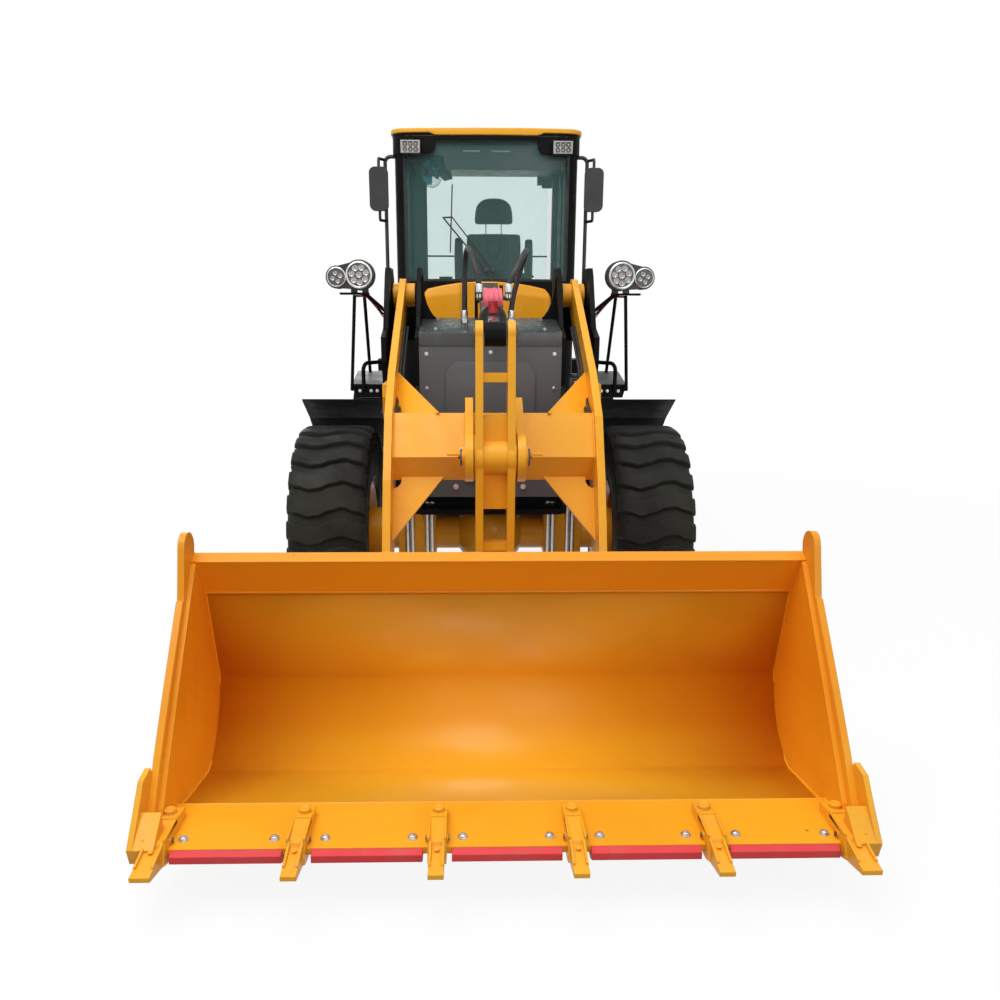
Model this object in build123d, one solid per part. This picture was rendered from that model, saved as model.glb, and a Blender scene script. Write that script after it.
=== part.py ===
from build123d import *
import math
import os

os.makedirs("parts", exist_ok=True)

# Articulated wheel loader. Millimetres. X is across (+X is the machine's left), +Y points to the
# rear, Z is up and 0 is the ground. Sections and places are given from the front axle line (Y 0);
# export() moves every piece so that the whole machine is centred on Y 0.

# ---- driving dimensions -------------------------------------------------------------------
WHEELBASE = 2750.0
REAR_OVERHANG = 1700.0
TOOTH_REACH = 2830.0          # front axle to tooth tip
TRACK = 1840.0
AXLE_Z = 656.0                # also the height of a lug's flat top: the machine stands on those flats
TYRE_W = 440.0
RIM_R = 318.0
LUGS = 26
LUG_H = 28.0
CLEAR = 6.0                   # between pieces that move past each other
PIN_GAP = 0.5                 # between a pin and the eye that turns on it
HINGE_PIN_R = 8.0             # door hinges
KNUCKLE_R = 15.0
KNUCKLE_HALF = 32.0

LUG_WAVE = (                  # centre line of a tread lug: (across, along), share of half the width and mm
    (-0.98, -6.0),
    (-0.30, 22.0),
    (0.30, -20.0),
    (0.98, 8.0),
)
LUG_HALF = 50.0               # half a lug's length along the tread
LUG_FLAT = AXLE_Z
TYRE_R = math.hypot(LUG_FLAT, LUG_HALF + 22.0)

HINGE_Y = WHEELBASE / 2       # articulation joint, midway between the axles
HALF_TRACK = TRACK / 2
REAR_AXLE_Y = WHEELBASE
REAR_END = WHEELBASE + REAR_OVERHANG
SHIFT_Y = (TOOTH_REACH - REAR_END) / 2

# pins of the loader linkage, (y, z)
BOOM_PIN = (410.0, 2080.0)
BUCKET_PIN = (-1620.0, 380.0)
CRANK_PIN = (-1090.0, 1300.0)
CRANK_TOP = (-1030.0, 1880.0)
CRANK_LOW = (-1080.0, 620.0)
LINK_EYE = (-1560.0, 655.0)
LIFT_BASE = (720.0, 1270.0)
LIFT_EYE = (-370.0, 1440.0)
STEER_BASE = (490.0, HINGE_Y + 705.0)    # (x, y) of a steering cylinder's two pins
STEER_EYE = (330.0, HINGE_Y - 130.0)
STEER_Z = 990.0
BOOM_PIN_R = 45.0
BOOM_BOSS_R = 64.0
TILT_PIN_R = 45.0
CRANK_PIN_R = 45.0
BUCKET_PIN_R = 48.0
LIFT_PIN_R = 38.0
LINK_PIN_R = 34.0
LIFT_ROD_R = 35.0
TILT_ROD_R = 36.0
STEER_ROD_R = 22.0
STEER_PIN_R = 20.0
BOWL_R = 215.0                # round middle of an axle

ARM_X = 535.0                 # middle plane of a boom arm
ARM_T = 40.0
ARM_IN = ARM_X - ARM_T / 2
TOWER_IN = (415.0, 440.0)     # inner tower plate, x from and to
TOWER_OUT = (605.0, 635.0)    # outer tower plate
BEAM = ((-780.0, 1480.0), (-910.0, 1272.0), (-850.0, 1144.0), (-640.0, 1170.0), (-600.0, 1440.0))   # cross beam
BEAM_T = 20.0

HOSE_R = 16.0
HOSES = (                     # the two hoses to the tilt cylinder, from the top plate
    ((-150, 30, 1945), (-150, 30, 2200), (-143, -24, 2296), (-132, -118, 2330), (-113, -212, 2300), (-88, -264, 2216),
     (-68, -282, 2140), (-68, -282, 2085)),
    ((124, 30, 1945), (124, 30, 2030), (168, 24, 2190), (194, -22, 2282), (202, -112, 2320), (180, -202, 2290),
     (138, -254, 2205), (92, -282, 2135), (92, -282, 2085)),
)

BUCKET_HALF = 1250.0
SIDE_T = 20.0
CUTTER_T = 25.0
SHELL_T = 16.0
TOOTH_PITCH = 475.0
TOOTH_N = 6
TOOTH_HALF = 32.0
CORNER_HALF = 39.0
SEGMENT_W = 375.0             # wear segments between the teeth

CAB_FRONT = HINGE_Y - 145.0
CAB_REAR = REAR_AXLE_Y - 190.0
CAB_HALF = 640.0
CAB_FLOOR_Z = 1330.0
CAB_TOP = 3200.0
ROOF_T = 60.0
ROOF_Z = CAB_TOP - ROOF_T
ROOF_LIP = 32.0               # height of the cap's rim, under its raised middle
CORNER_LIFT = 16.0            # how far the rim's underside is cut up over the corner housings
CORNER_X = 355.0              # inner end of a corner housing
CAB_CORNER = 90.0             # radius of the cab's upright corners
CAB_BOW = 45.0                # how far the middle of the front stands forward
POST = 62.0
PANEL_T = 40.0
GLASS_T = 8.0
SILL_Z = 2190.0
DOOR_Y = (CAB_FRONT + 130.0, CAB_REAR - 430.0)

HOOD_HALF = 560.0
HOOD_TOP = 2230.0
HOOD_BOTTOM = 1340.0
HOOD_T = 30.0
HOOD_FRONT = CAB_REAR + 40.0
HOOD_END = REAR_END - 120.0
DOOR_LOW = 1500.0             # bottom of the hood's side doors
FRAME_HALF = 330.0
FRAME_T = 30.0
FRAME_TOP = 1070.0
FRAME_BOTTOM = 620.0
FRAME_FRONT = HINGE_Y + 185.0
FRAME_END = REAR_END - 350.0
CW_HALF = 1080.0


# ---- helpers ------------------------------------------------------------------------------
def box(x, y, z):
    """A box from three (from, to) pairs."""
    size = [b - a for a, b in (x, y, z)]
    mid = [(a + b) / 2 for a, b in (x, y, z)]
    return Pos(*mid) * Box(*size)


def face_yz(points):
    """A flat face in the YZ plane at x 0 from (y, z) corners."""
    return make_face(Polyline(*[(0, y, z) for y, z in points], close=True))


def slab(face, x0, x1):
    """A face at x 0 pushed out from x0 to x1."""
    return extrude(Pos(x0, 0, 0) * face, x1 - x0, dir=(1, 0, 0))


def plate(points, x0, x1):
    """A side plate: (y, z) corners, from x0 to x1."""
    return slab(face_yz(points), x0, x1)


def plate_xz(points, y0, y1):
    """A cross plate: (x, z) corners, from y0 to y1."""
    face = make_face(Polyline(*[(x, y0, z) for x, z in points], close=True))
    return extrude(face, y1 - y0, dir=(0, 1, 0))


def plate_xy(points, z0, z1):
    """A level plate: (x, y) corners, from z0 to z1."""
    face = make_face(Polyline(*[(x, y, z0) for x, y in points], close=True))
    return extrude(face, z1 - z0, dir=(0, 0, 1))


def rod_x(at, r, x0, x1):
    """A round bar along X at (y, z)."""
    return Pos((x0 + x1) / 2, at[0], at[1]) * Rot(0, 90, 0) * Cylinder(r, x1 - x0)


def rod_y(x, z, r, y0, y1):
    return Pos(x, (y0 + y1) / 2, z) * Rot(90, 0, 0) * Cylinder(r, y1 - y0)


def rod_z(x, y, r, z0, z1):
    return Pos(x, y, (z0 + z1) / 2) * Cylinder(r, z1 - z0)


def between(a, b, r, start, end):
    """A round bar on the line from a to b, from start to end measured from a."""
    line = Vector(*b) - Vector(*a)
    unit = line.normalized()
    base = Vector(*a) + unit * start
    plane = Plane(origin=base, z_dir=unit)
    return extrude(plane * Circle(r), end - start)


def both(solid):
    """A piece and its mirror image on the other side."""
    return solid + mirror(solid, about=Plane.YZ)


def tube(points, dia, bend):
    """A bent round tube through the given points."""
    path = FilletPolyline(*points, radius=bend)
    ring = Plane(origin=path @ 0, z_dir=path % 0) * Circle(dia / 2)
    return sweep(ring, path=path)


def arc_tube(points, r):
    """Round tube along straight runs, with an arc at each corner as large as its two runs allow."""
    spots = [Vector(*p) for p in points]
    radii = []
    for a, b, c in zip(spots, spots[1:], spots[2:]):
        turn = math.radians((b - a).get_angle(c - b))
        radii.append(0.45 * min((b - a).length, (c - b).length) / math.tan(turn / 2))
    path = FilletPolyline(*spots, radius=radii)
    start = Plane(origin=path @ 0, z_dir=path % 0)
    return sweep(start * Circle(r), path=path)


def normal_below(a, b):
    """Unit vector square to the line from a to b, on its lower side."""
    n = math.hypot(b[0] - a[0], b[1] - a[1])
    return (b[1] - a[1]) / n, -(b[0] - a[0]) / n


def folded(points, t, x0, x1):
    """A folded sheet from x0 to x1: (y, z) points of its upper line, run towards +y, t thick below."""
    sides = [normal_below(a, b) for a, b in zip(points, points[1:])]
    low = []
    for i, (y, z) in enumerate(points):
        n1, n2 = sides[max(i - 1, 0)], sides[min(i, len(sides) - 1)]
        k = t / (1 + n1[0] * n2[0] + n1[1] * n2[1])
        low.append((y + (n1[0] + n2[0]) * k, z + (n1[1] + n2[1]) * k))
    return plate(points + low[::-1], x0, x1)


def strut(a, b, half, x0, x1):
    """A flat link with round ends: pins a and b at (y, z), half width, from x0 to x1."""
    dy, dz = b[0] - a[0], b[1] - a[1]
    n = math.hypot(dy, dz)
    ny, nz = -dz / n * half, dy / n * half
    corners = [(a[0] + ny, a[1] + nz), (b[0] + ny, b[1] + nz)]
    corners += [(b[0] - ny, b[1] - nz), (a[0] - ny, a[1] - nz)]
    return plate(corners, x0, x1) + rod_x(a, half, x0, x1) + rod_x(b, half, x0, x1)


NODES = {}


def keep(name, shape):
    NODES[name] = shape


def export():
    for name, shape in NODES.items():
        export_step(Compound([s for s in (Pos(0, SHIFT_Y, 0) * shape).solids()]), f"parts/{name}.step")


# ---- wheels -------------------------------------------------------------------------------
WHEELS = {                    # name: (side, axle y)
    "front_left": (1, 0.0),
    "front_right": (-1, 0.0),
    "rear_left": (1, REAR_AXLE_Y),
    "rear_right": (-1, REAR_AXLE_Y),
}
BEAD_HALF = 190.0
HUB_R = 150.0
SPINDLE_R = 60.0
HUB_IN = HALF_TRACK - 150.0   # inner face of the wheel hub, from the centre line


def polygon_ring(x, r):
    """A regular polygon about the wheel's axle, one side for each lug, at x; r is to its sides."""
    return Plane(origin=(x, 0, 0), x_dir=(0, 0, -1), z_dir=(1, 0, 0)) * Rot(0, 0, 180 / LUGS) * RegularPolygon(
        r, LUGS, major_radius=False)


def stack(rings):
    """Flat-sided body through polygon rings, each (x, r)."""
    return loft([polygon_ring(x, r) for x, r in rings], ruled=True)


def lug():
    """One tread bar under the axle, waved across the tread."""
    half = TYRE_W / 2
    front = [(across * half, along - LUG_HALF) for across, along in LUG_WAVE]
    back = [(across * half, along + LUG_HALF) for across, along in reversed(LUG_WAVE)]
    root = -(LUG_FLAT - LUG_H - 40)
    tall = -(LUG_FLAT - LUG_H * 0.8)
    ends = [(-half, root), (-half, tall), (-half * 0.86, -LUG_FLAT), (half * 0.86, -LUG_FLAT), (half, tall), (half, root)]
    return plate_xy(front + back, -LUG_FLAT, root) & plate_xz(ends, -200, 200)


def tyre():
    half = TYRE_W / 2
    base = LUG_FLAT - LUG_H
    edge = [(half - 26, RIM_R + 14), (half, base - 90), (half, base)]
    body = stack([(-x, r) for x, r in edge] + [(x, r) for x, r in reversed(edge)])
    body -= stack([(-half - 1, RIM_R), (half + 1, RIM_R)])
    turns = [Rot(360 / LUGS * i, 0, 0) * lug() for i in range(LUGS)]
    return body.fuse(*turns)


def rim():
    """Rim with its disc and hub; +x is the outer side."""
    w = BEAD_HALF
    pts = [(-w, RIM_R), (w, RIM_R), (w, RIM_R - 26), (w - 60, RIM_R - 60), (20, RIM_R - 66)]
    pts += [(10, HUB_R + 20), (60, HUB_R), (70, 60), (70, 0), (40, 0), (40, SPINDLE_R + 5), (-150, SPINDLE_R + 5)]
    pts += [(-150, HUB_R - 20), (-20, HUB_R), (-20, RIM_R - 66), (-w + 40, RIM_R - 60), (-w, RIM_R - 26)]
    face = make_face(Polyline(*[(x, 0, r) for x, r in pts], close=True))
    return revolve(face, Axis.X)


def wheels():
    for name, (side, y) in WHEELS.items():
        turn = Rot(0, 0, 0) if side > 0 else Rot(0, 0, 180)
        place = Pos(side * HALF_TRACK, y, AXLE_Z) * turn
        keep(f"tyre_{name}", place * tyre())
        keep(f"rim_{name}", place * rim())


# ---- axles and shafts ---------------------------------------------------------------------
def axle(y, bowl):
    """Axle housing with its bowl towards +y or -y and stub spindles inside the hubs."""
    body = rod_x((y, AXLE_Z), 105, -HUB_IN + CLEAR, HUB_IN - CLEAR)
    body += rod_x((y, AXLE_Z), 150, -HUB_IN + CLEAR, -HUB_IN + 130)
    body += rod_x((y, AXLE_Z), 150, HUB_IN - 130, HUB_IN - CLEAR)
    body += Pos(0, y, AXLE_Z) * Rot(0, 90, 0) * Sphere(BOWL_R)
    body += rod_y(0, AXLE_Z, 120, *sorted((y, y + bowl * 330)))
    body += both(box((330, 560), (y - 110, y + 110), (AXLE_Z - 120, AXLE_Z + 135)))
    body += rod_x((y, AXLE_Z), SPINDLE_R + 5 - 1, -HUB_IN - 180, HUB_IN + 180)
    return body


def axles():
    keep("front_axle", axle(0, 1))
    keep("rear_axle", axle(REAR_AXLE_Y, -1))
    keep("front_shaft", rod_y(0, AXLE_Z, 45, 330, HINGE_Y - 150) + rod_y(0, AXLE_Z, 80, 330, 370))
    rear = rod_y(0, AXLE_Z, 45, HINGE_Y + 150, REAR_AXLE_Y - 330)
    keep("rear_shaft", rear + rod_y(0, AXLE_Z, 80, REAR_AXLE_Y - 370, REAR_AXLE_Y - 330))


# ---- front frame --------------------------------------------------------------------------
PAD_TOP = AXLE_Z + 135
PAD_T = 40.0                  # blocks between the axle and the front frame
HINGE_LOW = (770.0, 850.0)    # z of the two articulation eyes on the front frame
HINGE_HIGH = (1130.0, 1210.0)


TILT_EAR = 88.0               # outer face of the ears that hold the tilt cylinder
DECK_Z = 1934.5               # underside of the curved gussets, on the tower's top plate


def front_frame():
    base = PAD_TOP + PAD_T
    back = HINGE_Y - 245
    side = [(250, 2190), (300, 2240), (520, 2240), (580, 2180), (580, 1640), (700, 1420), (800, 1380)]
    side += [(820, 1200), (back, 1120), (back, 690), (560, 690), (300, base), (-280, base)]
    side += [(-300, 930), (-300, 1300), (-100, 1560), (-100, 1838), (60, 1888)]
    inner = plate(side, *TOWER_IN)
    outer_pts = [(250, 2190), (300, 2240), (520, 2240), (580, 2180), (580, 1640), (700, 1420), (800, 1380)]
    outer_pts += [(820, 1150), (650, 1050), (250, 1350), (-40, 1560), (-100, 1700), (-100, 1838), (60, 1888)]
    outer = plate(outer_pts, *TOWER_OUT)
    body = both(inner + outer)
    foot = TOWER_IN[0] + 1
    curve = [(100, 0), (72, 24), (50, 56), (32, 96), (20, 142), (13, 196), (10, 256)]
    body += both(plate_xz([(foot, DECK_Z)] + [(foot - x, DECK_Z + z) for x, z in curve] + [(foot, DECK_Z + 256)], 300, 314))
    hole = rod_x((200, 1450), 120, TOWER_IN[0] - 5, TOWER_IN[1] + 5)
    body -= both(hole)
    web = box((TOWER_IN[1], TOWER_OUT[0]), (560, 580), (1800, 2150))
    web += box((TOWER_IN[1], TOWER_OUT[0]), (795, 812), (1180, 1360))
    body += both(web)
    inside = (-TOWER_IN[0], TOWER_IN[0])
    body += box(inside, (-300, 560), (base, base + 30))
    body += box(inside, (540, 560), (base, 1900))
    body += box(inside, (back - 25, back), (730, 1120))
    body += box(inside, (560, back - 25), (1090, 1120)) + box(inside, (560, back - 25), (850, 880))
    for z in (HINGE_LOW, HINGE_HIGH):
        eye = plate_xy([(-230, back - 30), (230, back - 30), (110, HINGE_Y + 60), (-110, HINGE_Y + 60)], *z)
        eye += rod_z(0, HINGE_Y, 115, *z)
        body += eye - rod_z(0, HINGE_Y, 60 + PIN_GAP, z[0] - 1, z[1] + 1)
    x, y = STEER_EYE
    lug = [(x - 50, back - 25), (x + 50, back - 25), (x + 38, y + 50), (x + 12, y + 72), (x - 12, y + 72)]
    lug += [(x - 38, y + 50)]
    jaws = plate_xy(lug, STEER_Z - 50, STEER_Z - 28) + plate_xy(lug, STEER_Z + 28, STEER_Z + 50)
    body += both(box((x - 50, x + 50), (back - 25, back), (STEER_Z - 50, STEER_Z + 50)) + jaws)
    for at, r in ((BOOM_PIN, BOOM_PIN_R), (LIFT_BASE, LIFT_PIN_R)):
        body += both(rod_x(at, r, TOWER_IN[0], TOWER_OUT[1] + 12))
    y, z = BOOM_PIN
    ear = [(360, 1925), (560, 1925), (560, 1985), (y + 50, z + 50), (y - 35, z + 50), (360, z + 20)]
    body += both(plate(ear, TILT_EAR - 20, TILT_EAR) + rod_x(BOOM_PIN, TILT_PIN_R + 17, TILT_EAR - 20, TILT_EAR))
    body += rod_x(BOOM_PIN, TILT_PIN_R, -TILT_EAR, TILT_EAR) + box(inside, (360, 560), (1900, 1930))
    return body - Pos(0, 0, AXLE_Z) * Sphere(BOWL_R + 10)


def axle_pads():
    """Blocks that carry the front frame on the axle."""
    return both(box((340, 520), (-100, 100), (PAD_TOP, PAD_TOP + PAD_T)))


def tower_covers():
    """Grey top plate between the tower plates, with the two front panels below it."""
    inside = TOWER_IN[0]
    top = plate([(-100, 1848), (350, 1928), (350, 1940), (-112, 1860), (-112, 1788), (-100, 1788)], -inside, inside)
    panel = box((-inside, inside), (-112, -100), (1320, 1788))
    relief = plate_xz([(-150, 1440), (150, 1440), (215, 1640), (-215, 1640)], -128, -112)
    rim_x = (-inside - 25, inside + 25)
    low = box(rim_x, (-312, -300), (940, 1270)) + box((-150, 150), (-324, -312), (1040, 1180))
    body = top + panel + relief + low
    for hose in HOSES:
        x, y, z = hose[0]
        body += rod_z(x, y, HOSE_R + 4, 1875, z)
    return body


FENDER = [(100.0, 1464.0), (330.0, 1330.0), (470.0, 1215.0), (640.0, 1080.0)]    # (y, z) of a front guard's folds
FENDER_X = (650.0, HALF_TRACK + TYRE_W / 2 + 5)
SIDE_BOX_X = 838.0
SIDE_BOX_LOW = 1474.0
LID = ((94.0, 1540.0), (424.0, 1600.0))    # underside of the side box's lid, (y, z)


def front_fenders():
    """Folded guards behind the crown of the front tyres, on plates from the tower."""
    guard = folded(FENDER, 8, *FENDER_X)
    (y0, z0), (y1, z1) = FENDER[:2]
    bracket = plate([(y0 + 8, z0 - 4), (y0 + 8, SIDE_BOX_LOW), (y1 + 90, SIDE_BOX_LOW), (y1 + 90, z1 - 70), (y1, z1)],
                    TOWER_OUT[1], FENDER_X[0] + 14)
    return both(guard + bracket)


def side_part():
    """Covered box with a sloping lid and a grab rail."""
    (y0, z0), (y1, z1) = LID
    x0, x1 = TOWER_OUT[1], SIDE_BOX_X
    body = plate([(y0 + 6, SIDE_BOX_LOW), (y1 - 6, SIDE_BOX_LOW), (y1 - 6, z1), (y0 + 6, z0)], x0, x1 - 5)
    body -= plate_xz([(x1 - 21, SIDE_BOX_LOW - 1), (x1, SIDE_BOX_LOW - 1), (x1, z0 - 5), (x1 - 5, z0 - 5)], y0, y1)
    body += plate([(y0, z0), (y1, z1), (y1, z1 + 12), (y0, z0 + 12)], x0, x1)
    rail = tube([(764, y0 - 8, z0 - 25), (764, y0 - 8, z0 + 140), (x0 - 10, 300, z0 + 140)], 24, 45)
    return body + rail - box((x0 - 60, x0), (0, 500), (z0 - 100, z0 + 200))


def side_box():
    return both(side_part())


POST_TOP = 2085.0


def lamp_posts():
    """Two legs and a strap from the tower under each lamp's plate."""
    side = TOWER_OUT[1]
    y, z = LID[0]
    post = between((SIDE_BOX_X - 2, y - 11, z - 20), (781, -60, POST_TOP - 4), 10, 0, 570)
    post += box((SIDE_BOX_X - 22, SIDE_BOX_X), (y - 16, y), (z - 24, z + 8))
    post += between((758, LID[1][0] - 20, LID[1][1]), (726, -60, POST_TOP - 4), 10, 0, 670)
    post += between((side - 20, 162, 1972), (714, -62, POST_TOP - 10), 11, 0, 260)
    post += box((698, 862), (-96, -34), (POST_TOP - 12, POST_TOP))
    post -= box((600, 900), (-200, 0), (POST_TOP, POST_TOP + 100))
    return both(post - box((400, side), (-500, 500), (1400, 2200)) - side_part())


def head_lamps():
    """Lamp pods: a large round lamp beside a small one, ribbed behind."""
    pod = rod_y(745, 2180, 80, -120, -20) + rod_y(872, 2168, 60, -120, -20)
    pod += plate_xz([(745, 2101), (872, 2109), (872, 2227), (745, 2259)], -118, -20)
    for y in (-20, -2):
        pod += rod_y(745, 2180, 62, y, y + 8) + rod_y(872, 2168, 44, y, y + 8)
    pod += rod_y(745, 2180, 48, -20, 10) + rod_y(872, 2168, 34, -20, 8)
    pod += box((765, 799), (-77, -43), (POST_TOP, 2112)) + box((701, 735), (-77, -43), (POST_TOP, 2122))
    return both(pod)


# ---- boom, linkage and bucket -------------------------------------------------------------
EAR = (105.0, 145.0)          # crank ears on the cross tube, x from and to
CRANK_X = (58.0, 95.0)        # crank plates
LINK_X = 42.0                 # half width of the link


def boom():
    upper = [(-580, 1670), (-840, 1472), (-1010, 1174), (-1150, 845), (-1300, 640), (-1590, 485)]
    lower = [(-1690, 310), (-1600, 275), (-1200, 440), (-900, 800), (-730, 1120), (-560, 1340), (-400, 1530)]
    lower += [(-250, 1590)]
    outer = ARM_X + ARM_T / 2
    arm = plate([(372, 2172)] + upper + lower + [(446, 1988)], ARM_IN, outer)
    arm += rod_x(BOOM_PIN, 98, ARM_IN, outer)
    arm += rod_x(BOOM_PIN, 72, ARM_X - 75, ARM_X + 60)
    arm += rod_x(BUCKET_PIN, 104, ARM_X - 50, ARM_X + 50)
    arm += plate(BEAM, ARM_IN, outer)
    y, z = LIFT_EYE
    lugs = [(y + 120, 1600), (y - 100, 1600), (y - 110, 1530), (y - 70, z - 30), (y, z - 72), (y + 70, z - 40)]
    for x0 in (ARM_X - 62, ARM_X + 37):
        arm += plate(lugs, x0, x0 + 25)
    arm += box((ARM_X - 62, ARM_X + 62), (-470, -300), (1562, 1600))
    arm -= rod_x(BOOM_PIN, BOOM_PIN_R + PIN_GAP, 0, 900)
    body = both(arm) + plate(BEAM, -ARM_IN, ARM_IN)
    ear = [(-620, 1430), (-730, 1548), (-800, 1560), (-1045, 1408), CRANK_PIN, (-1115, 1186), (-780, 1150)]
    ear = plate(ear, *EAR) + rod_x(CRANK_PIN, 116, *EAR)
    body += both(ear) + both(upper_gusset()) + both(lower_gusset())
    body += rod_x(CRANK_PIN, CRANK_PIN_R, -EAR[1] - 14, EAR[1] + 14)
    for side in (1, -1):
        x = side * (EAR[1] + 7)
        tab = plate([(CRANK_PIN[0] - 12, CRANK_PIN[1] + 20), (CRANK_PIN[0] + 78, CRANK_PIN[1] + 52)]
                    + [(CRANK_PIN[0] + 90, CRANK_PIN[1] + 26), (CRANK_PIN[0] + 4, CRANK_PIN[1] - 8)], x - 7, x + 7)
        body += tab
    body += both(rod_x(BUCKET_PIN, BUCKET_PIN_R, ARM_X - 108, ARM_X + 108))
    return body


def upper_gusset():
    """Sloping web from the cross beam's top to the inner face of the arm."""
    return hull_plate([(280, -790, 1474), (ARM_IN, -400, 1650), (ARM_IN, -640, 1446)], 18)


def lower_gusset():
    """Web under the cross beam down to the arm, notched at their corner."""
    web = hull_plate([(255, -858, 1160), (ARM_IN, -858, 1160), (ARM_IN, -1010, 860)], 18)
    return web - rod_y(ARM_IN, 1150, 42, -1100, -700)


def hull_plate(corners, t):
    """A flat plate through three corner points, t thick."""
    a, b, c = [Vector(*p) for p in corners]
    face = make_face(Polyline(*corners, close=True))
    normal = (b - a).cross(c - a).normalized()
    return extrude(face, t / 2, dir=tuple(normal), both=True)


def bellcrank():
    """Two plates tied by cross bars; the ears of the boom hold it from outside."""
    pts = [(CRANK_TOP[0] - 60, CRANK_TOP[1]), (CRANK_TOP[0] + 60, CRANK_TOP[1]), (CRANK_PIN[0] + 95, CRANK_PIN[1])]
    pts += [(CRANK_LOW[0] + 60, CRANK_LOW[1]), (CRANK_LOW[0] - 60, CRANK_LOW[1]), (CRANK_PIN[0] - 95, CRANK_PIN[1])]
    side = plate(pts, *CRANK_X)
    side += rod_x(CRANK_TOP, 62, *CRANK_X) + rod_x(CRANK_PIN, 100, *CRANK_X) + rod_x(CRANK_LOW, 62, *CRANK_X)
    body = both(side)
    body += rod_x(CRANK_PIN, 85, -CRANK_X[1] - 4, CRANK_X[1] + 4)
    body += box((-CRANK_X[0], CRANK_X[0]), (CRANK_PIN[0] - 25, CRANK_PIN[0] + 25), (CRANK_PIN[1], 1500))
    body += box((-CRANK_X[0], CRANK_X[0]), (-1105, -1015), (1660, 1700))
    body += box((-CRANK_X[0], CRANK_X[0]), (CRANK_PIN[0] - 25, CRANK_PIN[0] + 25), (1050, CRANK_PIN[1]))
    body += box((-CRANK_X[0], CRANK_X[0]), (-1125, -1045), (840, 880))
    body += rod_x(CRANK_LOW, LINK_PIN_R, -CRANK_X[0], CRANK_X[0])
    return body - rod_x(CRANK_PIN, CRANK_PIN_R + PIN_GAP, -200, 200)


def link():
    body = strut(CRANK_LOW, LINK_EYE, 58, -LINK_X, LINK_X)
    return body - rod_x(CRANK_LOW, LINK_PIN_R + PIN_GAP, -90, 90) - rod_x(LINK_EYE, LINK_PIN_R, -90, 90)


SHELL = [(-1860.0, 870.0), (-1772.0, 470.0), (-1833.0, 276.0), (-2040.0, 150.0), (-2420.0, 205.0)]


def shell_line():
    back, low, bend, floor, front = [(0, y, z) for y, z in SHELL]
    return Polyline(back, low) + ThreePointArc(low, bend, floor) + Polyline(floor, front)


def bucket():
    out = BUCKET_HALF - CUTTER_T
    y0, z0 = SHELL[0]
    inner = make_face(shell_line() + Polyline((0, *SHELL[-1]), (0, -2600, 900), (0, *SHELL[0])))
    outer_back = [(0, SHELL[0][0] + SHELL_T, 876), (0, SHELL[1][0] + SHELL_T, 468)]
    outer_mid = (0, SHELL[2][0] + 12, SHELL[2][1] - 12)
    outer_low = [(0, SHELL[3][0] + 2, SHELL[3][1] - SHELL_T), (0, SHELL[4][0], SHELL[4][1] - SHELL_T)]
    skin = Polyline(*outer_back) + ThreePointArc(outer_back[1], outer_mid, outer_low[0]) + Polyline(*outer_low)
    skin += Polyline(outer_low[1], (0, *SHELL[4])) + Polyline((0, *SHELL[4]), (0, *SHELL[3]))
    skin += ThreePointArc((0, *SHELL[3]), (0, *SHELL[2]), (0, *SHELL[1])) + Polyline((0, *SHELL[1]), (0, *SHELL[0]))
    skin += Polyline((0, *SHELL[0]), outer_back[0])
    body = slab(make_face(skin), -out, out)
    body += plate([(y0, z0), (-1945, 1027), (-1894, 1050), (-1805, 895), (y0 + SHELL_T, 860)], -out, out)
    edge = [(-2400, 203 - 4), (-2400, 230), (-2674, 226), (-2674, 201), (-2640, 196)]
    body += plate(edge, -out, out)
    side_front = [(-1894, 1050), (-1960, 1010), (-2250, 650), (-2400, 460), (-2530, 290), (-2560, 215)]
    wall = Polyline(*[(0, y, z) for y, z in [SHELL[0], (-1894, 1050)] + side_front[1:] + [(-2420, 197)]])
    wall += Polyline((0, -2420, 197), (0, SHELL[3][0], SHELL[3][1] - 8))
    wall += ThreePointArc((0, SHELL[3][0], SHELL[3][1] - 8), (0, SHELL[2][0] + 6, SHELL[2][1] - 6), (0, SHELL[1][0] + 8, SHELL[1][1]))
    wall += Polyline((0, SHELL[1][0] + 8, SHELL[1][1]), (0, *SHELL[0]))
    body += both(slab(make_face(wall), out - SIDE_T, out))
    cutter = [(-2080, 908), (-2307, 636), (-2455, 452), (-2578, 280), (-2590, 200), (-2480, 200), (-2370, 400)]
    cutter += [(-2200, 640), (-1990, 890)]
    body += both(plate(cutter, out - 1, BUCKET_HALF))
    ear = [(-2070, 900), (-2008, 1104), (-1893, 1074), (-1940, 880)]
    body += both(plate(ear, out - 2, BUCKET_HALF) + rod_x((-1950, 1088), 59, out - 2, BUCKET_HALF))
    body += both(bucket_ears())
    return body


def bucket_ears():
    """Hinge plates on the bucket's back for one arm, and half of the link's pair."""
    pts = [(-1840, 850), (-1560, 480), (-1520, 380), (-1560, 290), (-1640, 262), (-1900, 205), (-1790, 330), (-1765, 470)]
    ears = plate(pts, ARM_X - 95, ARM_X - 60) + plate(pts, ARM_X + 60, ARM_X + 95)
    ears -= rod_x(BUCKET_PIN, BUCKET_PIN_R + PIN_GAP, 300, 800)
    mid = [(-1848, 860), (-1600, 740), (-1500, 690), (-1490, 640), (-1560, 590), (-1768, 500)]
    pair = plate(mid, LINK_X + CLEAR, LINK_X + CLEAR + 30)
    pair += rod_x(LINK_EYE, 60, LINK_X + CLEAR, LINK_X + CLEAR + 50)
    return ears + pair


def tooth_places():
    first = -(TOOTH_N - 1) / 2 * TOOTH_PITCH
    return [first + i * TOOTH_PITCH for i in range(TOOTH_N)]


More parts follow.
